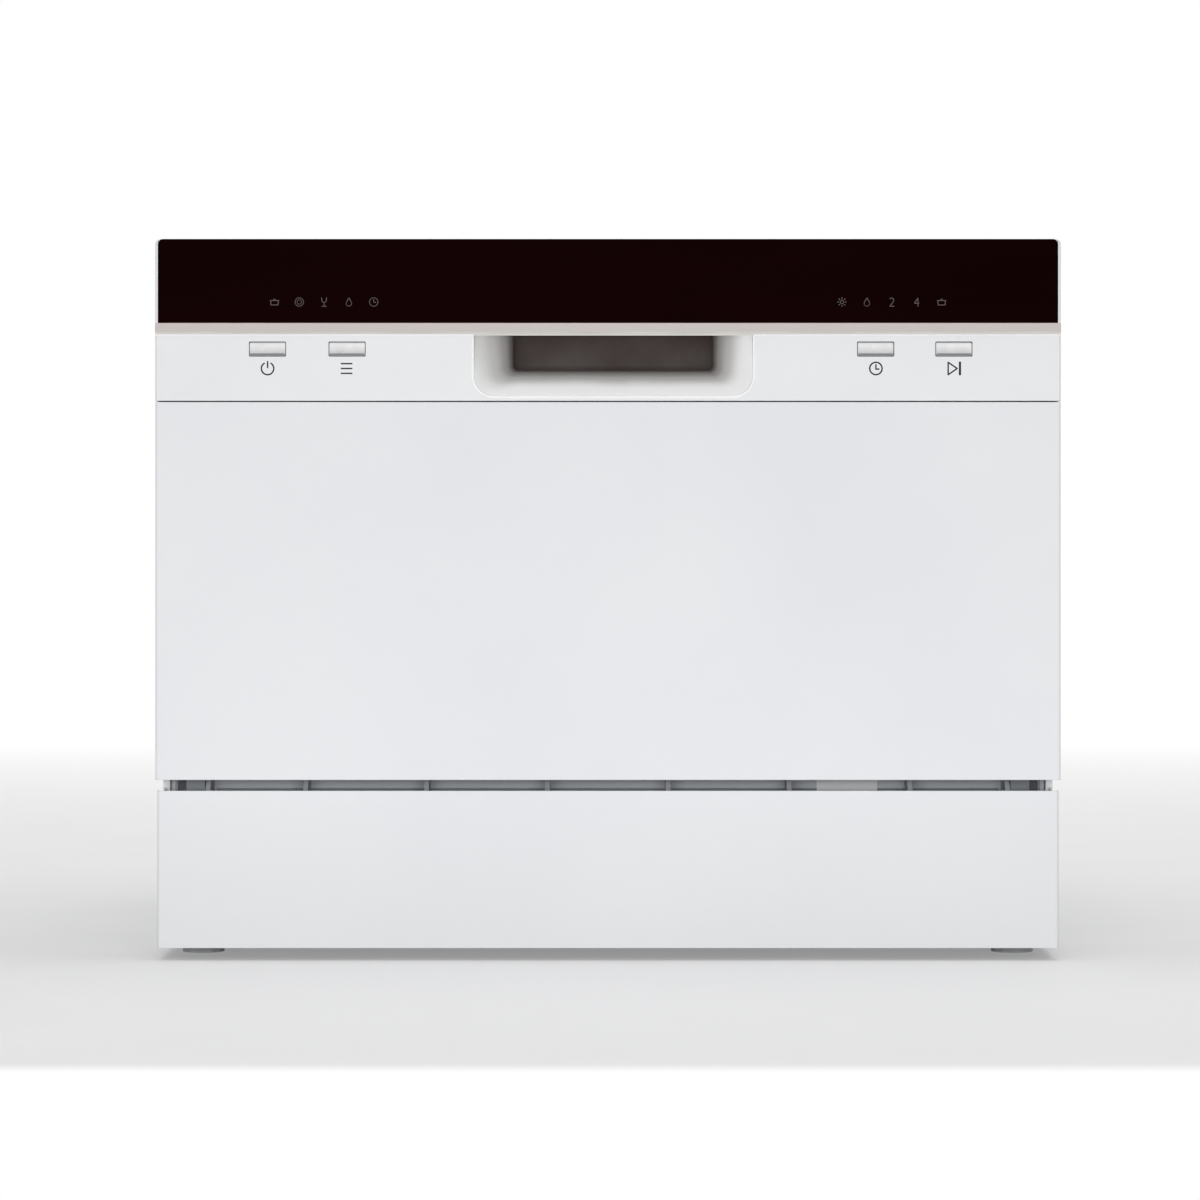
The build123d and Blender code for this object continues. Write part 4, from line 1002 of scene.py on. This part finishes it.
def case_screws():
    """Screws round the back panel: three along its top and its foot, two more up each side."""
    panel_low, panel_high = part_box("back_panel")
    inset, sunk = 9 * MM, 0.3 * MM
    left, right = panel_low.x + inset, panel_high.x - inset
    places = []
    for x in (left, 0, right):
        places += [(x, z) for z in (panel_low.z + inset, panel_high.z - inset)]
    for z in (210 * MM, 310 * MM):
        places += [(x, z) for x in (left, right)]
    heads = [screw_head((x, BACK - sunk, z), (0, 1, 0)) for x, z in places]
    piece("case_screws", joined(heads), MATERIALS["zinc"], "cabinet")


# Floor, light and camera

# Where the floor starts and ends, its half width, the share of plain white that the eye sees mixed
# into it in front, and from where to where that share grows to all
FLOOR_NEAR = -0.78
FLOOR_FAR = 5.8
FLOOR_REACH = 5.0
FLOOR_GLOW = 0.25
FADE_START = -0.2
FADE_END = 3.0


def watched(nodes, links):
    """A value that is 1 for whatever the eye meets, straight, mirrored or through glass."""
    paths = nodes.new("ShaderNodeLightPath")
    value = paths.outputs["Is Camera Ray"]
    for name in ("Is Glossy Ray", "Is Transmission Ray"):
        either = nodes.new("ShaderNodeMath")
        either.operation = "MAXIMUM"
        links.new(value, either.inputs[0])
        links.new(paths.outputs[name], either.inputs[1])
        value = either.outputs["Value"]
    return value


def floor():
    """Pale floor that glows a little in front and runs out into white at both ends."""
    made = Finish("floor")
    speck = made.span(made.noise(0.4, 4), 0.0, 0.05)
    made.link(made.blend(speck, seen(229, 229, 230), seen(219, 219, 219)), "Base Color")
    made.link(made.span(made.noise(0.1, 3), 0.55, 0.7), "Roughness")
    made.bump(made.noise(3 * MM, 2), 0.01 * MM)
    depth = made.axis("Y")
    far = made.span(depth, FLOOR_GLOW, 1.0, FADE_START, FADE_END)
    near = made.span(depth, 1.0, 0.0, FLOOR_NEAR + 0.01, FLOOR_NEAR + 0.05)
    faded = made.math("MULTIPLY", made.math("MAXIMUM", far, near), watched(made.nodes, made.links))
    white = made.nodes.new("ShaderNodeEmission")
    mixed = made.nodes.new("ShaderNodeMixShader")
    made.links.new(faded, mixed.inputs["Fac"])
    made.links.new(made.shader.outputs["BSDF"], mixed.inputs[1])
    made.links.new(white.outputs["Emission"], mixed.inputs[2])
    made.links.new(mixed.outputs["Shader"], made.nodes["Material Output"].inputs["Surface"])
    corners = rectangle(-FLOOR_REACH, FLOOR_REACH, FLOOR_NEAR, FLOOR_FAR)
    shape = ([(x, y, 0) for x, y in corners], [[0, 1, 2, 3]])
    piece("floor", shape, made.material, None)


def softbox(name, place, aim, width, height, power):
    """A white area lamp that the camera doesn't see."""
    light = bpy.data.lights.new(name, "AREA")
    light.shape = "RECTANGLE"
    light.size, light.size_y = width, height
    light.energy = power
    lamp = bpy.data.objects.new(name, light)
    lamp.location = place
    lamp.visible_camera = False
    lamp.rotation_euler = (Vector(aim) - Vector(place)).to_track_quat("-Z", "Y").to_euler()
    bpy.context.scene.collection.objects.link(lamp)
    return lamp


WORLD_FILL = 0.34


def studio():
    """White surroundings that light less than they show, a softbox and a low strip in front."""
    world = bpy.data.worlds.new("studio")
    world.use_nodes = True
    bpy.context.scene.world = world
    nodes, links = world.node_tree.nodes, world.node_tree.links
    background = nodes["Background"]
    background.inputs["Color"].default_value = (1, 1, 1, 1)
    strength = nodes.new("ShaderNodeMapRange")
    strength.inputs["To Min"].default_value = WORLD_FILL
    strength.inputs["To Max"].default_value = 1.0
    links.new(watched(nodes, links), strength.inputs["Value"])
    links.new(strength.outputs["Result"], background.inputs["Strength"])
    softbox("overhead", (0.1, -0.2, 2.4), (0, 0, 0.2), width=2.6, height=2.2, power=31)
    place, aim = (-0.05, -2.5, 0.24), (0, 0, 0.24)
    strip = softbox("front_strip", place, aim, width=1.8, height=0.24, power=27)
    strip.visible_glossy = False


def camera():
    """Level camera square to the front, as far off as the photograph's perspective says."""
    data = bpy.data.cameras.new("camera")
    data.sensor_width = SENSOR_MM
    frame_width = PHOTO_SIZE * PHOTO_SCALE
    data.lens = SENSOR_MM * CAMERA_DISTANCE / frame_width
    made = bpy.data.objects.new("camera", data)
    made.location = (across(CAMERA_X_PX), FRONT - CAMERA_DISTANCE, level(CAMERA_Z_PX))
    made.rotation_euler = (math.radians(90), 0, 0)
    bpy.context.scene.collection.objects.link(made)
    bpy.context.scene.camera = made


bpy.context.scene.view_settings.view_transform = "Standard"
dress_cad()
key_signs()
lamp_signs()
grip_well()
grip_rim()
trim_highlight_strip()
slot_ends()
bare_plates()
key_wells()
key_lips()
door_edges()
wire_rack()
door_coils()
inlet_thread()
case_screws()
floor()
studio()
camera()
